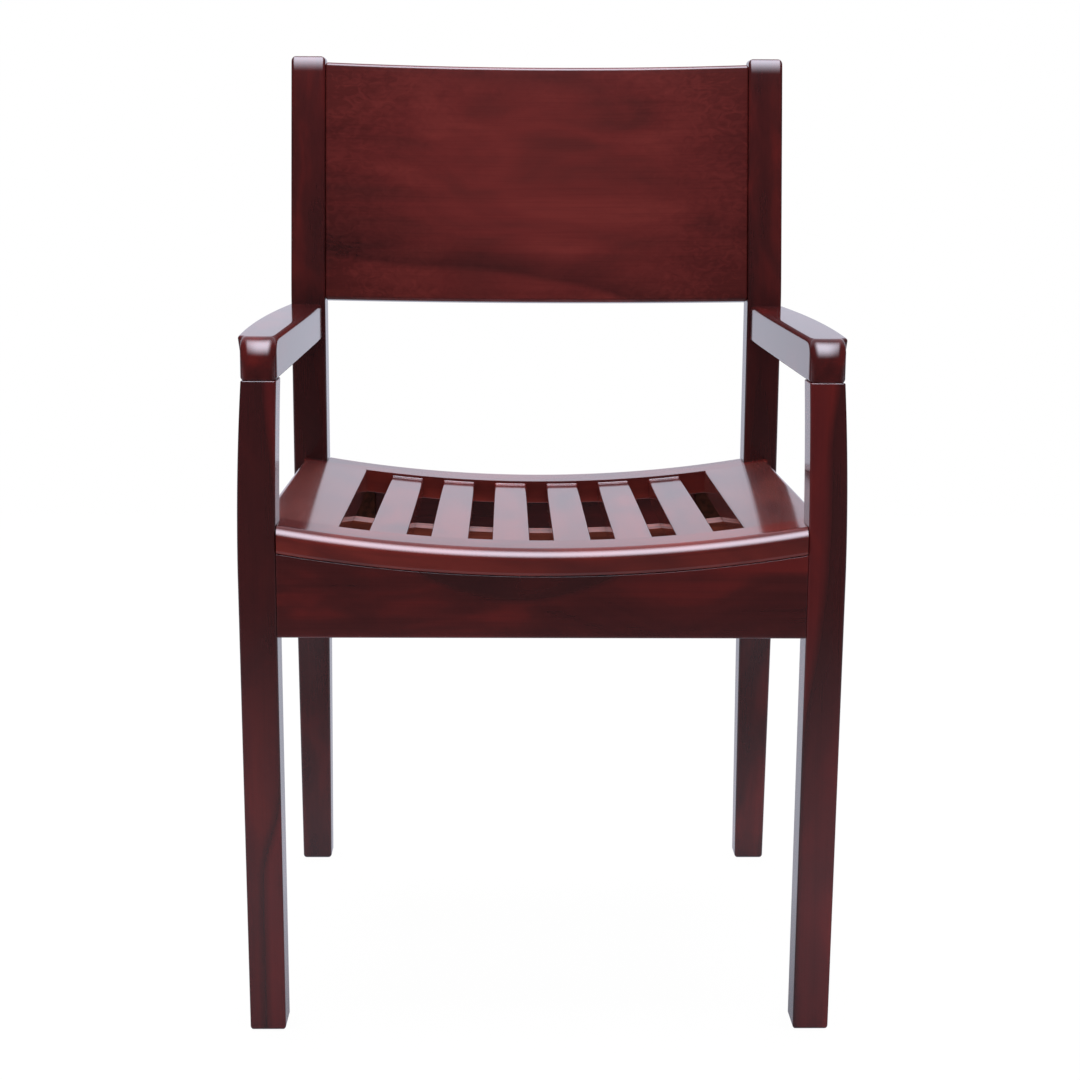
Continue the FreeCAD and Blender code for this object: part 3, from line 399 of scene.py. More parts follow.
def lacquered_wood(name, board, heart_share=0.85, heart_fade=1.0, curl=0.0, haze=0.005):
    """Stained mahogany-like hardwood, planed and sanded, under clear gloss lacquer.

    The eye sees soft clouds a hand wide where the stain took unevenly, faint streaks along the grain, dark
    heartwood that ends in a crisp ring and fades away on its other side, short dark curls where the figure is
    burled, and over it all a smooth, wet-looking coat that mirrors what is pale around it. board names the
    stain's colours, heart_share is how dark the heartwood is, heart_fade where it has faded away, curl how
    dark the curls are, and haze how much the coat is dulled by use.
    """
    cloud_share = 0.72
    waver = 14 * MM / HEART_REACH
    ring_start, ring_end = 0.17, 0.23
    fading, fading_share = ring_end + 0.35 * (heart_fade - ring_end), 0.7 * heart_share
    light, middle, dark = (linear(getattr(finish(), f"{board}_{tone}")) for tone in TONES)
    material, tree = new_tree(name)
    grain = add_node(tree, "Attribute", attribute_name="grain")
    edge = add_node(tree, "Attribute", attribute_name="heart")
    burl = add_node(tree, "Attribute", attribute_name="burl")
    # The width, length, detail and distortion of each figure in the wood.
    figures = {
        "clouds": (60 * MM, 150 * MM, 3.0, 0.8),
        "streaks": (16 * MM, 450 * MM, 2.5, 0.5),
        "lines": (1.8 * MM, 90 * MM, 2.0, 0.0),
        "curls": (9 * MM, 13 * MM, 4.0, 1.5),
    }
    noises = {}
    for figure, (wide, long, detail, distortion) in figures.items():
        scaled = add_node(tree, "Mapping", {
            "Vector": (grain, "Vector"), "Scale": (1 / long, 1 / wide, 1 / wide),
        })
        noise = add_node(tree, "TexNoise", {
            "Vector": (scaled, "Vector"), "Scale": 1.0, "Detail": detail, "Distortion": distortion,
        })
        noises[figure] = (noise, "Fac")
    cloudy = add_node(tree, "Math", {0: noises["clouds"], 1: cloud_share}, operation="MULTIPLY")
    tone = add_node(tree, "Math", {
        0: noises["streaks"], 1: 1 - cloud_share, 2: (cloudy, "Value"),
    }, operation="MULTIPLY_ADD")
    stain = add_node(tree, "ValToRGB", {"Fac": (tone, "Value")}, [
        (0.36, dark), (0.50, middle), (0.64, light),
    ])
    depth = add_node(tree, "Math", {
        0: noises["clouds"], 1: waver, 2: (edge, "Fac"),
    }, operation="MULTIPLY_ADD")
    heart = add_node(tree, "ValToRGB", {"Fac": (depth, "Value")}, [
        (ring_start, grey(0.0)), (ring_end, grey(heart_share)),
        (fading, grey(fading_share)), (heart_fade, grey(0.0)),
    ])
    hearted = add_node(tree, "Mix", {
        "Factor": (heart, "Color"), "A": (stain, "Color"), "B": linear(finish().heartwood),
    }, data_type="RGBA")
    curly = add_node(tree, "Math", {0: noises["curls"], 1: (burl, "Fac")}, operation="MULTIPLY")
    figure = add_node(tree, "ValToRGB", {"Fac": (curly, "Value")}, [
        (0.02, grey(1.0)), (0.45, grey(1.0 - curl)),
    ])
    fine = add_node(tree, "ValToRGB", {"Fac": noises["lines"]}, [
        (0.30, grey(0.9)), (0.50, grey(1.0)),
    ])
    marks = add_node(tree, "Mix", {
        "Factor": 1.0, "A": (figure, "Color"), "B": (fine, "Color"),
    }, data_type="RGBA", blend_type="MULTIPLY")
    body = add_node(tree, "Mix", {
        "Factor": 1.0, "A": (hearted, "Result"), "B": (marks, "Result"),
    }, data_type="RGBA", blend_type="MULTIPLY")
    relief = add_node(tree, "Bump", {
        "Strength": 0.02, "Distance": 0.2 * MM, "Height": noises["lines"],
    })
    shader = add_node(tree, "BsdfPrincipled", {
        "Base Color": (body, "Result"),
        "Roughness": 0.4,
        "Specular IOR Level": haze,
        "Coat Weight": 1.0,
        "Coat Roughness": finish().coat_roughness,
        "Coat IOR": 1.5,
        "Normal": (relief, "Normal"),
        "Coat Normal": (relief, "Normal"),
    })
    add_node(tree, "OutputMaterial", {"Surface": (shader, "BSDF")})
    return material


def inner_wood(name, board, coat):
    """Sawn hardwood with a thin wipe of stain, as it is left under a seat, bare or thinly lacquered.

    The eye sees a warmer brown with straight dark grain, and a soft shine where it is coated and lies flat.
    board names the stain's colours, and coat is how much lacquer it has.
    """
    light, dark = (linear(getattr(finish(), f"{board}_{tone}")) for tone in ("light", "dark"))
    grain_width, grain_length = 6 * MM, 160 * MM
    material, tree = new_tree(name)
    place = add_node(tree, "TexCoord")
    scaled = add_node(tree, "Mapping", {
        "Vector": (place, "Object"), "Scale": (1 / grain_length, 1 / grain_width, 1 / grain_width),
    })
    figure = add_node(tree, "TexNoise", {
        "Vector": (scaled, "Vector"), "Scale": 1.0, "Detail": 4.0, "Distortion": 0.5,
    })
    stain = add_node(tree, "ValToRGB", {"Fac": (figure, "Fac")}, [
        (0.35, dark), (0.62, light),
    ])
    relief = add_node(tree, "Bump", {
        "Strength": 0.1, "Distance": 0.2 * MM, "Height": (figure, "Fac"),
    })
    shader = add_node(tree, "BsdfPrincipled", {
        "Base Color": (stain, "Color"), "Roughness": 0.5, "Specular IOR Level": 0.03, "Coat Weight": coat,
        "Coat Roughness": 0.18, "Normal": (relief, "Normal"), "Coat Normal": (relief, "Normal"),
    })
    add_node(tree, "OutputMaterial", {"Surface": (shader, "BSDF")})
    return material


def zinc_plate(name):
    """Zinc-plated steel, turned and dipped: a pale grey with a soft, slightly cloudy shine."""
    cloud_size = 3 * MM
    material, tree = new_tree(name)
    place = add_node(tree, "TexCoord")
    clouds = add_node(
        tree, "TexNoise", {"Vector": (place, "Object"), "Scale": 1 / cloud_size, "Detail": 2.0},
    )
    dull = add_node(tree, "ValToRGB", {"Fac": (clouds, "Fac")}, [
        (0.3, grey(0.28)), (0.7, grey(0.42)),
    ])
    shader = add_node(tree, "BsdfPrincipled", {
        "Base Color": linear(finish().zinc), "Metallic": 1.0, "Roughness": (dull, "Color"),
    })
    add_node(tree, "OutputMaterial", {"Surface": (shader, "BSDF")})
    return material


# The material, the record's slot and the settings of each group of boards. The front legs took the stain more
# redly outside the heart, and the lacquer of the seat, of its side boards most of all, is hazy with use. The
# side boards' lighter, redder stain is a painted reflection of the posts.
LACQUERED = {
    "frame": ("lacquered_mahogany_frame", "lacquered_wood_frame", {}),
    "leg": ("red_lacquered_mahogany", "lacquered_wood_frame", {}),
    "panel": (
        "lacquered_mahogany_panel", "lacquered_wood_panel",
        {"heart_share": 0.55, "heart_fade": 0.5, "curl": 0.5},
    ),
    "seat": ("lacquered_mahogany_seat", "lacquered_wood_seat", {"haze": 0.06}),
    "side": ("worn_lacquered_mahogany", "lacquered_wood_seat", {"haze": 0.12}),
}


def shared(name, make, **settings):
    """The material of that name, made when it is first asked for."""
    return bpy.data.materials.get(name) or make(name, **settings)


def dress(piece, node, board):
    """Lets a finished piece stand for its node, in the lacquered wood of its group of boards."""
    name, slot, settings = LACQUERED[board]
    piece.data.materials.append(shared(name, lacquered_wood, board=board, **settings))
    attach(piece, "root")
    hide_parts(node)


def leg_inside():
    """The distance from the middle of the chair to the inside of a front leg."""
    return LEG_BOX[1].x - sizes().leg_width


def post_inside():
    """The distance from the middle of the chair to the inside of a back post."""
    return POST_BOX[1].x - sizes().post_width


def upright(side):
    """Places a board that stands up: along is Z, across is X on the right, and through is the depth."""
    return lambda along, across, through: (side * across, FRONT_Y + through, along)


def smooth_step(value, low, high):
    """Zero below low, one above high, and 3 t^2 - 2 t^3 of the way between."""
    part = np.clip((value - low) / (high - low), 0, 1)
    return part ** 2 * (3 - 2 * part)


def leg_heart(side):
    """The edge of the heartwood on a front leg, which wanders from its inner side outwards.

    It starts at a share of the leg's width, which steps up smoothly with height on the right leg, and steps
    down on the left one before it rises again under the arm. The heartwood lies outside it, and fades by the
    floor.
    """
    s = sizes()
    top = ARM_BOX[0].z
    low, knee, seat, high = 0.24 * top, 0.40 * top, 0.76 * top, 0.90 * top
    fade_low, fade_high = 0.3 * top, 0.62 * top
    fade_share = 0.6 if side > 0 else 0.35
    soft_edge = 6 * MM
    if side > 0:
        start, steps = -0.05, ((0.6, knee, seat), (0.2, high, top))
    else:
        start, steps = 0.5, ((-0.55, low, knee), (0.32, seat, top))

    def distance(along, across, through):
        part = start + sum(step * smooth_step(along, below, above) for step, below, above in steps)
        past = across - leg_inside() - s.leg_width * part
        faded = fade_share * HEART_REACH * (1 - smooth_step(along, fade_low, fade_high))
        return past + faded * smooth_step(past, 0, soft_edge)

    return distance


def front_leg(node, side):
    """A leg whose sides are straight from foot to waist and drift in, along a parabola, up to the arm."""
    s = sizes()
    top = ARM_BOX[0].z
    along = stations(0, top, s.foot_round, s.leg_top_ease, steps=90)
    foot = np.clip(1 - along / s.leg_waist, 0, 1)
    rise = np.clip((along - s.leg_waist) / (top - s.leg_waist), 0, 1) ** 2
    inset = round_off(along, s.foot_round) + round_off(top - along, s.leg_top_ease)
    low = leg_inside() - s.leg_foot_draw_in * foot - s.leg_top_draw_in * rise + inset
    high = LEG_BOX[1].x - s.leg_foot_draw_out * foot - s.leg_top_draw_out * rise - inset
    ease = np.maximum(s.frame_ease - inset, LEAST_EASE)
    return swept_board(
        node, along, (low, high), (inset, LEG_DEPTH - inset), [ease] * 4, upright(side),
        flats=(12, 2, 12, 2), heart=leg_heart(side),
    )


def soft_ramp(rise, reach):
    """Zero before the bend and the rise after it, joined within reach of the bend by a parabola."""
    return np.where(rise < -reach, 0, np.where(rise > reach, rise, (rise + reach) ** 2 / (4 * reach)))


def post_sides(height):
    """The depths of a post's front and rear at a height: it rakes below the knee and leans above the bend."""
    s = sizes()
    top = POST_BOX[1].z
    lean = math.tan(s.recline)
    knee_reach = s.post_bend_radius * math.tan(math.atan(s.post_foot_rake / s.post_knee) / 2)
    bend_reach = s.post_bend_radius * math.tan(s.recline / 2)
    foot = soft_ramp(s.post_knee - height, knee_reach) / s.post_knee
    over = soft_ramp(height - s.post_bend, bend_reach)
    front = s.post_setback + s.post_foot_rake * foot + lean * over
    foot_rear = s.post_foot_rake + s.post_foot_depth - s.post_depth
    rear_lean = lean - (s.post_depth - s.post_top_depth) / (top - s.post_bend)
    rear = s.post_setback + s.post_depth + foot_rear * foot + rear_lean * over
    return front, rear


def back_post(node, side):
    """A post sawn from one board: its front and rear follow post_sides, and its inside tapers at the foot.

    The top rounds over to the front by a quarter ellipse. The whole post is darkened with the heartwood's
    stain, partly as the wood's own dark tone and partly as painted shade below the arms, and this fades above
    the arms and by the floor.
    """
    s = sizes()
    top = POST_BOX[1].z
    along = stations(0, top, s.foot_round, s.post_top_height, steps=60)
    front, rear = post_sides(along)
    foot = round_off(along, s.foot_round)
    inset = foot + round_off(top - along, s.post_top_side)
    nose = foot + round_off(top - along, s.post_top_height) * s.post_top_round / s.post_top_height
    out = POST_BOX[1].x
    low = post_inside() + s.post_foot_taper * np.clip(1 - along / s.post_knee, 0, 1)
    ease = np.maximum(s.post_ease - inset, LEAST_EASE)
    # Painted shade: the whole post takes the heartwood's dark stain, and these shares lift it above the arms
    # and by the floor.
    shade_fade_above_arms, shade_fade_by_floor = 0.6, 0.5

    def heart(along, across, through):
        upper = shade_fade_above_arms * smooth_step(along, ARM_BOX[0].z, top)
        return s.post_width + HEART_REACH * (upper + shade_fade_by_floor * smooth_step(-along, -s.post_knee, 0))

    return swept_board(
        node, along, (low + inset, out - inset), (front + nose, rear - inset), [ease] * 4, upright(side),
        heart=heart,
    )


def arm(node, side):
    """An arm that swells behind its round nose and then bows outwards.

    The outside swells smoothly to the shoulder, and adds the bow as a parabola behind it. The nose is a
    quarter ellipse from the side and a parabola from above, and its round corners sharpen behind it. Below
    the shoulder, the outside leans back in.
    """
    s = sizes()
    base, top = ARM_BOX[0].z, ARM_BOX[1].z
    leg_out = LEG_BOX[1].x - s.leg_top_draw_out
    leg_in = leg_inside() - s.leg_top_draw_in
    post_out = POST_BOX[1].x + s.arm_rear_step
    post_in = post_inside() + s.arm_rear_inset
    along = stations(0, s.post_setback, s.arm_nose, s.joint_ease, steps=60)
    shoulder = np.linspace(s.arm_shoulder_start, s.arm_shoulder_depth, ARC_STEPS)
    along = np.union1d(along, shoulder)
    rear = round_off(s.post_setback - along, s.joint_ease)
    inset = round_off(along, s.arm_nose_side) + rear
    low = leg_in + (post_in - leg_in) * along / s.post_setback + inset
    swell = smooth_step(along, s.arm_shoulder_start, s.arm_shoulder_depth)
    run = np.clip((along - s.arm_shoulder_depth) / (s.post_setback - s.arm_shoulder_depth), 0, 1)
    bowed = (post_out - leg_out - s.arm_shoulder) * run + s.arm_bow * 4 * run * (1 - run)
    high = leg_out + s.arm_nose_flare + (s.arm_shoulder - s.arm_nose_flare) * swell + bowed - inset
    soft = 1 - smooth_step(along, 0, s.arm_nose_depth)
    under = s.arm_ease - inset
    outer = s.arm_ease + (s.arm_nose_side - s.arm_ease) * soft - inset
    inner = s.arm_inner_ease + (s.arm_nose_side - s.arm_inner_ease) * soft - inset
    radii = [np.maximum(ease, LEAST_EASE) for ease in (under, under, outer, inner)]
    bottom = base + round_off(along, s.arm_nose_under) + rear
    tip = top - round_off(along, s.arm_nose) * s.arm_nose_height / s.arm_nose - rear
    middle, half = (leg_out + leg_in) / 2, (leg_out - leg_in) / 2

    def level(along, across, through):
        aside = (across - middle) / half
        bulge = s.arm_nose_bulge * aside ** 2 * (1 - smooth_step(along, 0, s.arm_nose_depth))
        swell = smooth_step(along, s.arm_shoulder_start, s.arm_shoulder_depth)
        lean = s.arm_shoulder * swell * np.clip(aside, 0, 1) * (top - through) / (top - base)
        return side * (across - lean), FRONT_Y + along + bulge, through

    return swept_board(
        node, along, (low, high), (bottom, tip), radii, level, flats=(8, 2, 8, 2),
    )


def back_panel(node):
    """A panel bent to an arc across the back and leaning with the posts.

    At a depth d behind the front face, the arc's radius is the front radius plus d. The heartwood's edge
    falls from left to right, most at the right end, and the figure is curly at the ends and edges.
    """
    s = sizes()
    half = post_inside()
    radius = (half ** 2 + s.panel_bow ** 2) / (2 * s.panel_bow)
    base = s.post_setback + s.panel_setback - (s.post_bend - s.panel_base) * math.tan(s.recline)
    cos, sin = math.cos(s.recline), math.sin(s.recline)
    along = stations(-half, half, s.panel_end_ease, s.panel_end_ease, steps=64)
    inset = round_off(half - abs(along), s.panel_end_ease)
    ease = np.maximum(s.panel_ease - inset, LEAST_EASE)
    edge, fall, plunge = 0.2, 0.15, 0.35
    end_curl, edge_curl = 0.75, 0.35

    def heart(along, across, through):
        part = (along + half) / (2 * half)
        return across - s.panel_height * (edge - fall * part - plunge * part ** 5)

    def burl(along, across, through):
        aside, up = along / half, 2 * across / s.panel_height - 1
        return np.clip(end_curl * aside ** 2 + edge_curl * up ** 2, 0, 1)

    def leaning(along, across, through):
        back = np.sqrt((radius + through) ** 2 - along ** 2) - (radius - s.panel_bow)
        return along, FRONT_Y + base + back * cos + across * sin, s.panel_base - back * sin + across * cos

    return swept_board(
        node, along, (inset, s.panel_height - inset), (inset, s.panel_thickness - inset), [ease] * 4, leaning,
        flats=(24, 2, 2, 2), heart=heart, burl=burl,
    )


def on_seat(across, back, depth):
    """A place on the seat: depth under its dished top, at a distance back along its slope.

    The dish is a circle of the dish radius, and a point under it lies on one that is larger by its depth.
    """
    s = sizes()
    rise = s.dish_radius - np.sqrt((s.dish_radius + depth) ** 2 - across ** 2)
    cos, sin = math.cos(s.seat_slope), math.sin(s.seat_slope)
    return across, FRONT_Y + back * cos + rise * sin, s.seat_height - back * sin + rise * cos


def seat_depths():
    """How far back the front board ends, the rear board begins, and the seat ends."""
    s = sizes()
    rear = s.post_setback + s.post_depth - s.seat_rear_inset
    return s.front_board - s.seat_nosing, rear - s.rear_board, rear


def long_seat_board(node, low, high, radii, drops):
    """A slat or side board, from the front board to the rear board, whose top falls from one drop to another.

    At the rear, lacquer fills the corner with a hollow quarter circle where the board lies lower.
    """
    s = sizes()
    start, end, _ = seat_depths()
    fillet = min(s.lacquer_fillet, drops[1])
    along = stations(start, end, s.joint_ease, max(fillet, s.joint_ease), steps=16)
    fall = drops[0] + (drops[1] - drops[0]) * (along - start) / (end - start)
    top = round_off(end - along, fillet) - fall if fillet else -fall
    low_ease, high_ease = radii
    under = s.slat_ease / 2
    return swept_board(
        node, along, (low, high), (-s.board_thickness, top), [under, under, high_ease, low_ease],
        lambda along, across, through: on_seat(across, along, -through), flats=(6, 2, 6, 2),
    )


def cross_seat_board(node, notch_start, front, rear, nose, tail):
    """A board across the seat, notched at both ends round a leg or a post.

    front and rear are the board's edges in the middle and beyond the notches, as pairs, and nose and tail the
    lower and upper rounding of those edges. The section steps at the notches within the seat gap.
    """
    s = sizes()
    half = s.seat_width / 2
    inner = notch_start - s.seat_gap
    steps = 60
    middle = np.linspace(-inner, inner, steps + 1)
    ends = np.array([notch_start, half - s.board_ease, half])
    along = np.concatenate([-ends[::-1], middle, ends])
    beyond = (abs(along) > inner + s.seat_gap / 2).astype(int)
    plain = s.joint_ease
    radii = [
        np.where(beyond, plain, nose[0]), np.where(beyond, plain, tail[0]),
        np.where(beyond, plain, tail[1]), np.where(beyond, plain, nose[1]),
    ]
    edges = (np.take(front, beyond), np.take(rear, beyond))
    return swept_board(
        node, along, edges, (-s.board_thickness, 0), radii,
        lambda along, across, through: on_seat(along, across, -through),
    )


def bed_height(across, back):
    """The height of the rails' tops, which lie the bed gap under the seat boards."""
    s = sizes()
    under = s.dish_radius + s.board_thickness + s.bed_gap
    rise = s.dish_radius - np.sqrt(under ** 2 - across ** 2)
    return s.seat_height - back * math.tan(s.seat_slope) + rise


def cross_rail(node, half, front, thickness, heart=None):
    """A rail across the chair, with its top cut to the dish of the seat."""
    s = sizes()
    along = stations(-half, half, s.joint_ease, s.joint_ease, steps=48)
    inset = round_off(half - abs(along), s.joint_ease)
    top = bed_height(along, front + thickness / 2)
    ease = np.maximum(s.frame_ease - inset, LEAST_EASE)

    def level(along, across, through):
        return along, FRONT_Y + across, through

    return swept_board(
        node, along, (front + inset, front + thickness - inset), (s.apron_bottom + inset, top),
        [ease, ease, BED_EASE, BED_EASE], level, flats=(2, 12, 2, 12), heart=heart,
    )


def apron_heart_and_nosing_shadow(along, across, through):
    """A lens of dark heartwood under the nosing, left of the middle, bounded below by a parabola, that is
    also a painted shadow of the nosing.
    """
    s = sizes()
    middle, reach, deep = -20 * MM, 80 * MM, 20 * MM
    under = s.seat_height - s.board_thickness
    return through - under + deep * (1 - ((along - middle) / reach) ** 2)


def side_rail(node, side):
    """A rail along one side, from a front leg to a back post, with its top cut to the dish of the seat.

    Its section is level at the inner height, and each point is then raised in proportion to its own height.
    """
    s = sizes()
    out = s.seat_width / 2 - s.seat_overhang
    along = stations(LEG_DEPTH, s.post_setback, s.joint_ease, s.joint_ease, steps=12)
    inset = round_off(along - LEG_DEPTH, s.joint_ease) + round_off(s.post_setback - along, s.joint_ease)
    inner = out - s.side_apron
    top = bed_height(inner, along)
    ease = np.maximum(s.frame_ease - inset, LEAST_EASE)

    def level(along, across, through):
        low = bed_height(inner, along)
        rise = (bed_height(across, along) - low) * (through - s.apron_bottom) / (low - s.apron_bottom)
        return side * across, FRONT_Y + along, through + rise

    return swept_board(
        node, along, (inner + inset, out - inset), (s.apron_bottom + inset, top),
        [ease, ease, BED_EASE, BED_EASE], level,
    )


class ARMCHAIR_OT_legs(bpy.types.Operator):
    """Makes the front legs and the back posts"""

    bl_idname = "armchair.legs"
    bl_label = "Legs and Posts"

    def execute(self, context):
        for word, side in SIDES.items():
            leg, post = f"front_leg_{word}", f"back_post_{word}"
            dress(front_leg(leg, side), leg, "leg")
            dress(back_post(post, side), post, "frame")
        return {"FINISHED"}


class ARMCHAIR_OT_arms(bpy.types.Operator):
    """Makes the two arms"""

    bl_idname = "armchair.arms"
    bl_label = "Arms"

    def execute(self, context):
        for word, side in SIDES.items():
            node = f"arm_{word}"
            dress(arm(node, side), node, "frame")
        return {"FINISHED"}


class ARMCHAIR_OT_back(bpy.types.Operator):
    """Makes the curved back panel"""

    bl_idname = "armchair.back"
    bl_label = "Back Panel"

    def execute(self, context):
        dress(back_panel("back_panel"), "back_panel", "panel")
        return {"FINISHED"}


class ARMCHAIR_OT_seat(bpy.types.Operator):
    """Makes the seat's boards and slats"""

    bl_idname = "armchair.seat"
    bl_label = "Seat"

    def execute(self, context):
        s = sizes()
        front_end, rear_start, rear_end = seat_depths()
        half = s.seat_width / 2
        pieces = {
            "seat_front_board": cross_seat_board(
                "seat_front_board", leg_inside() - s.seat_gap / 2,
                (-s.seat_nosing, LEG_DEPTH + s.seat_gap), (front_end, front_end),
                (s.nose_bottom, s.nose_top), (s.joint_ease, s.joint_ease / 2),
            ),
            "seat_rear_board": cross_seat_board(
                "seat_rear_board", post_inside() - s.seat_gap / 2,
                (rear_start, rear_start), (rear_end, s.post_setback - s.seat_gap),
                (s.joint_ease, s.joint_ease / 2), (s.board_ease, s.board_ease),
            ),
        }
        opening = half - s.side_board
        for word, side in SIDES.items():
            low, high = sorted((side * opening, side * half))
            radii = (s.board_ease, s.slat_ease) if side < 0 else (s.slat_ease, s.board_ease)
            node = f"seat_side_board_{word}"
            pieces[node] = long_seat_board(node, low, high, radii, (0, 0))
        for place in range(SLATS):
            middle = s.slat_pitch * (place - (SLATS - 1) / 2)
            node = f"seat_slat_{place + 1}"
            pieces[node] = long_seat_board(
                node, middle - s.slat_width / 2, middle + s.slat_width / 2, (s.slat_ease, s.slat_ease),
                (s.slat_front_drop, s.slat_rear_drop),
            )
        for node, piece in pieces.items():
            dress(piece, node, "side" if "side" in node else "seat")
        return {"FINISHED"}


class ARMCHAIR_OT_rails(bpy.types.Operator):
    """Makes the rails under the seat"""

    bl_idname = "armchair.rails"
    bl_label = "Rails"

    def execute(self, context):
        s = sizes()
        # The front apron's dark lens under the nosing is partly heartwood and partly a painted shadow of the
        # nosing.
        front = cross_rail("front_apron", leg_inside(), 0, s.front_apron, apron_heart_and_nosing_shadow)
        dress(front, "front_apron", "frame")
        rear_front = s.post_setback + s.rear_apron_inset
        rear = cross_rail("rear_apron", post_inside(), rear_front, s.rear_apron)
        dress(rear, "rear_apron", "frame")
        for word, side in SIDES.items():
            node = f"side_apron_{word}"
            dress(side_rail(node, side), node, "frame")
        return {"FINISHED"}


class ARMCHAIR_OT_underside(bpy.types.Operator):
    """Finishes the cross batten, the corner blocks and the screws under the seat"""

    bl_idname = "armchair.underside"
    bl_label = "Underside"

    def execute(self, context):
        coated = shared("thinly_lacquered_sawn_hardwood", inner_wood, board="batten", coat=0.6)
        # The corner blocks take a darkened stain as painted shade under the seat.
        bare = shared("stained_sawn_hardwood", inner_wood, board="block", coat=0.0)
        zinc = shared("zinc_plated_steel", zinc_plate)
        finishes = {f"corner_block_{end}_{word}": bare for end in ("front", "rear") for word in SIDES}
        finishes.update(slat_batten=coated, seat_screws=zinc)
        for name, material in finishes.items():
            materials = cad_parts[name].data.materials
            materials.clear()
            materials.append(material)
        return {"FINISHED"}


def white_floor(name, stage):
    """Matt white paper: it is white to the camera and keeps a soft shadow.

    In gloss it glows as painted light, dim towards the room, and duller under the chair than in front of it
    and behind it, which is a painted shadow of the chair: bright gives how light it is at parts of the way
    from the front of its reach to the rear.
    """
    reach = 2.0
    # Painted shadow: the floor's glow in gloss dips under the chair.
    gloss_glow_and_shadow = {0.0: stage.room_light, 0.35: 0.6, 0.45: 0.42, 0.53: 0.72}
    glow_share = 0.975
    material, tree = new_tree(name)
    path = add_node(tree, "LightPath")
    place = add_node(tree, "TexCoord")
    spot = add_node(tree, "SeparateXYZ", {"Vector": (place, "Object")})
    depth = add_node(tree, "MapRange", {
        "Value": (spot, "Y"), "From Min": -reach, "From Max": reach,
    })
    gloss = add_node(tree, "ValToRGB", {"Fac": (depth, "Result")}, [
        (part, grey(light)) for part, light in gloss_glow_and_shadow.items()
    ])
    tinted = add_node(tree, "Mix", {
        "Factor": 1.0, "A": (gloss, "Color"), "B": linear(stage.backdrop_colour),
    }, data_type="RGBA", blend_type="MULTIPLY")
    glare = add_node(tree, "Mix", {
        "Factor": (path, "Is Glossy Ray"), "A": (1, 1, 1, 1), "B": (tinted, "Result"),
    }, data_type="RGBA")
    seen = (path, "Is Camera Ray")
    for kind in ("Is Glossy Ray", "Is Transmission Ray"):
        either = add_node(tree, "Math", {0: seen, 1: (path, kind)}, operation="MAXIMUM")
        seen = (either, "Value")
    part = add_node(tree, "Math", {0: seen, 1: glow_share}, operation="MULTIPLY")
    paper = add_node(tree, "BsdfDiffuse", {"Color": linear(stage.floor_colour)})
    glow = add_node(tree, "Emission", {"Color": (glare, "Result"), "Strength": 1.0})
    mixed = add_node(tree, "MixShader", {
        "Fac": (part, "Value"), 1: (paper, "BSDF"), 2: (glow, "Emission"),
    })
    add_node(tree, "OutputMaterial", {"Surface": (mixed, "Shader")})
    return material


def studio_world(stage):
    """White all round to the camera and even as light, with a backdrop, a dim room and a window in gloss.

    In gloss, the light rises smoothly from the dim room to the backdrop behind the chair and overhead, and
    the window stands high in front, with soft edges.
    """
    room_edge, backdrop_edge = -0.25, 0.6
    sill, pane_low = 0.36, 0.85
    ceiling, pane_depth = 0.3, -0.45
    jamb, pane_side = 0.7, 0.1
    world = bpy.data.worlds.new("studio")
    world.use_nodes = True
    tree = world.node_tree
    tree.nodes.clear()
    path = add_node(tree, "LightPath")
    place = add_node(tree, "TexCoord")
    toward = add_node(tree, "SeparateXYZ", {"Vector": (place, "Generated")})
    aside = add_node(tree, "Math", {0: (toward, "X")}, operation="ABSOLUTE")
    back = add_node(tree, "Math", {0: (toward, "Y"), 1: (toward, "Z")}, operation="ADD")
    back = add_node(tree, "Math", {0: (back, "Value"), 1: (aside, "Value")}, operation="SUBTRACT")
    gloss = add_node(tree, "MapRange", {
        "Value": (back, "Value"), "From Min": room_edge, "From Max": backdrop_edge,
        "To Min": stage.room_light, "To Max": stage.backdrop_light,
    }, interpolation_type="SMOOTHSTEP")
    edges = (
        ((toward, "Z"), sill, pane_low),
        ((toward, "Y"), ceiling, pane_depth),
        ((aside, "Value"), jamb, pane_side),
    )
    window = None
    for measure, outside, inside in edges:
        low, high = sorted((outside, inside))
        limit = add_node(tree, "MapRange", {
            "Value": measure, "From Min": low, "From Max": high,
            "To Min": float(inside == low), "To Max": float(inside == high),
        }, interpolation_type="SMOOTHSTEP")
        before = (window, "Value") if window else stage.window_light
        window = add_node(tree, "Math", {0: (limit, "Result"), 1: before}, operation="MULTIPLY")
    shine = add_node(tree, "Math", {0: (gloss, "Result"), 1: (window, "Value")}, operation="ADD")
    light = add_node(tree, "Mix", {
        "Factor": (path, "Is Glossy Ray"), "A": stage.ambient, "B": (shine, "Value"),
    })
    seen = add_node(tree, "Math", {
        0: (path, "Is Camera Ray"), 1: (path, "Is Transmission Ray"),
    }, operation="MAXIMUM")
    strength = add_node(tree, "Mix", {"Factor": (seen, "Value"), "A": (light, "Result"), "B": 1.0})
    tint = add_node(tree, "Mix", {
        "Factor": (path, "Is Glossy Ray"), "A": (1, 1, 1, 1), "B": linear(stage.backdrop_colour),
    }, data_type="RGBA")
    sky = add_node(tree, "Background", {
        "Color": (tint, "Result"), "Strength": (strength, "Result"),
    })
    add_node(tree, "OutputWorld", {"Surface": (sky, "Background")})
    return world


def soft_lamp(name, size, power, place, target):
    """A square soft box that points at a place, and doesn't show in gloss."""
    data = bpy.data.lights.new(name, "AREA")
    data.size = size
    data.energy = power
    lamp = bpy.data.objects.new(name, data)
    lamp.location = place
    lamp.rotation_euler = (target - lamp.location).to_track_quat("-Z", "Y").to_euler()
    lamp.visible_glossy = False
    bpy.context.scene.collection.objects.link(lamp)


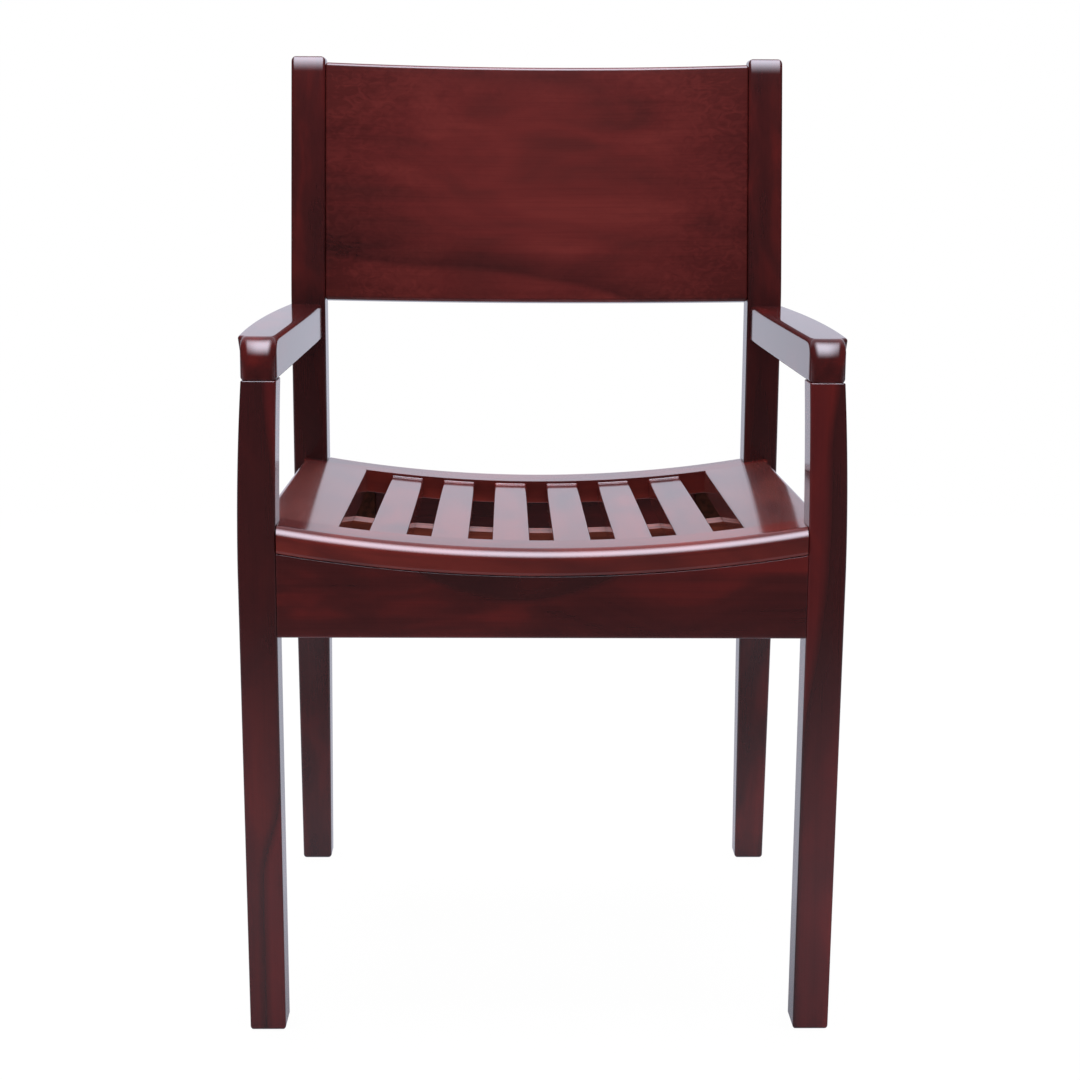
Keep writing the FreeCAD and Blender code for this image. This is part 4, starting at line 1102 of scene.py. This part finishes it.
class ARMCHAIR_OT_stage(bpy.types.Operator):
    """Makes the floor, the light and the camera"""

    bl_idname = "armchair.stage"
    bl_label = "Stage"

    def execute(self, context):
        scene = context.scene
        stage = scene.armchair_stage
        half, front, rear = stage.floor_width / 2, -stage.floor_front, stage.floor_rear
        corners = [(-half, front, 0), (half, front, 0), (half, rear, 0), (-half, rear, 0)]
        mesh = bpy.data.meshes.new("floor")
        mesh.from_pydata(corners, [], [(0, 1, 2, 3)])
        mesh.materials.append(white_floor("white_paper", stage))
        floor = bpy.data.objects.new("floor", mesh)
        scene.collection.objects.link(floor)
        scene.world = studio_world(stage)
        middle = Vector((0, 0, POST_BOX[1].z / 2))
        soft_lamp("lamp_above", stage.top_lamp_size, stage.top_light, stage.top_lamp, middle)
        soft_lamp("lamp_front", stage.front_lamp_size, stage.front_light, stage.front_lamp, middle)
        data = bpy.data.cameras.new("camera")
        data.sensor_width = SENSOR_WIDTH
        data.lens = stage.lens
        camera = bpy.data.objects.new("camera", data)
        x, y, z = stage.camera
        camera.matrix_world = (
            Matrix.Translation((x, FRONT_Y + y, z))
            @ Matrix.Rotation(-stage.yaw, 4, "Z")
            @ Matrix.Rotation(math.pi / 2 - stage.pitch, 4, "X")
            @ Matrix.Rotation(stage.roll, 4, "Z")
        )
        scene.collection.objects.link(camera)
        scene.camera = camera
        scene.view_settings.view_transform = "Standard"
        return {"FINISHED"}


class ARMCHAIR_PT_panel(bpy.types.Panel):
    """Lists the pieces of the armchair"""

    bl_idname = "ARMCHAIR_PT_panel"
    bl_label = "Armchair"
    bl_space_type = "VIEW_3D"
    bl_region_type = "UI"
    bl_category = "Armchair"

    def draw(self, context):
        for operator in OPERATORS:
            self.layout.operator(operator.bl_idname)
        for group in GROUPS:
            values = getattr(context.scene, group)
            for name in values.__annotations__:
                self.layout.prop(values, name)


GROUPS = {"armchair_sizes": ArmchairSizes, "armchair_finish": ArmchairFinish, "armchair_stage": ArmchairStage}
OPERATORS = (
    ARMCHAIR_OT_legs, ARMCHAIR_OT_arms, ARMCHAIR_OT_back, ARMCHAIR_OT_seat, ARMCHAIR_OT_rails,
    ARMCHAIR_OT_underside, ARMCHAIR_OT_stage,
)


def register():
    """Registers the classes and hangs the property groups on the scene."""
    for name, group in GROUPS.items():
        bpy.utils.register_class(group)
        setattr(bpy.types.Scene, name, PointerProperty(type=group))
    for item in (*OPERATORS, ARMCHAIR_PT_panel):
        bpy.utils.register_class(item)


def unregister():
    """Takes the classes and the property groups away again."""
    for item in (ARMCHAIR_PT_panel, *OPERATORS[::-1]):
        bpy.utils.unregister_class(item)
    for name, group in GROUPS.items():
        delattr(bpy.types.Scene, name)
        bpy.utils.unregister_class(group)


def main():
    """Makes the armchair and its stage."""
    register()
    bpy.ops.armchair.legs()
    bpy.ops.armchair.arms()
    bpy.ops.armchair.back()
    bpy.ops.armchair.seat()
    bpy.ops.armchair.rails()
    bpy.ops.armchair.underside()
    bpy.ops.armchair.stage()
    bpy.context.view_layer.update()


if __name__ == "__main__":
    main()
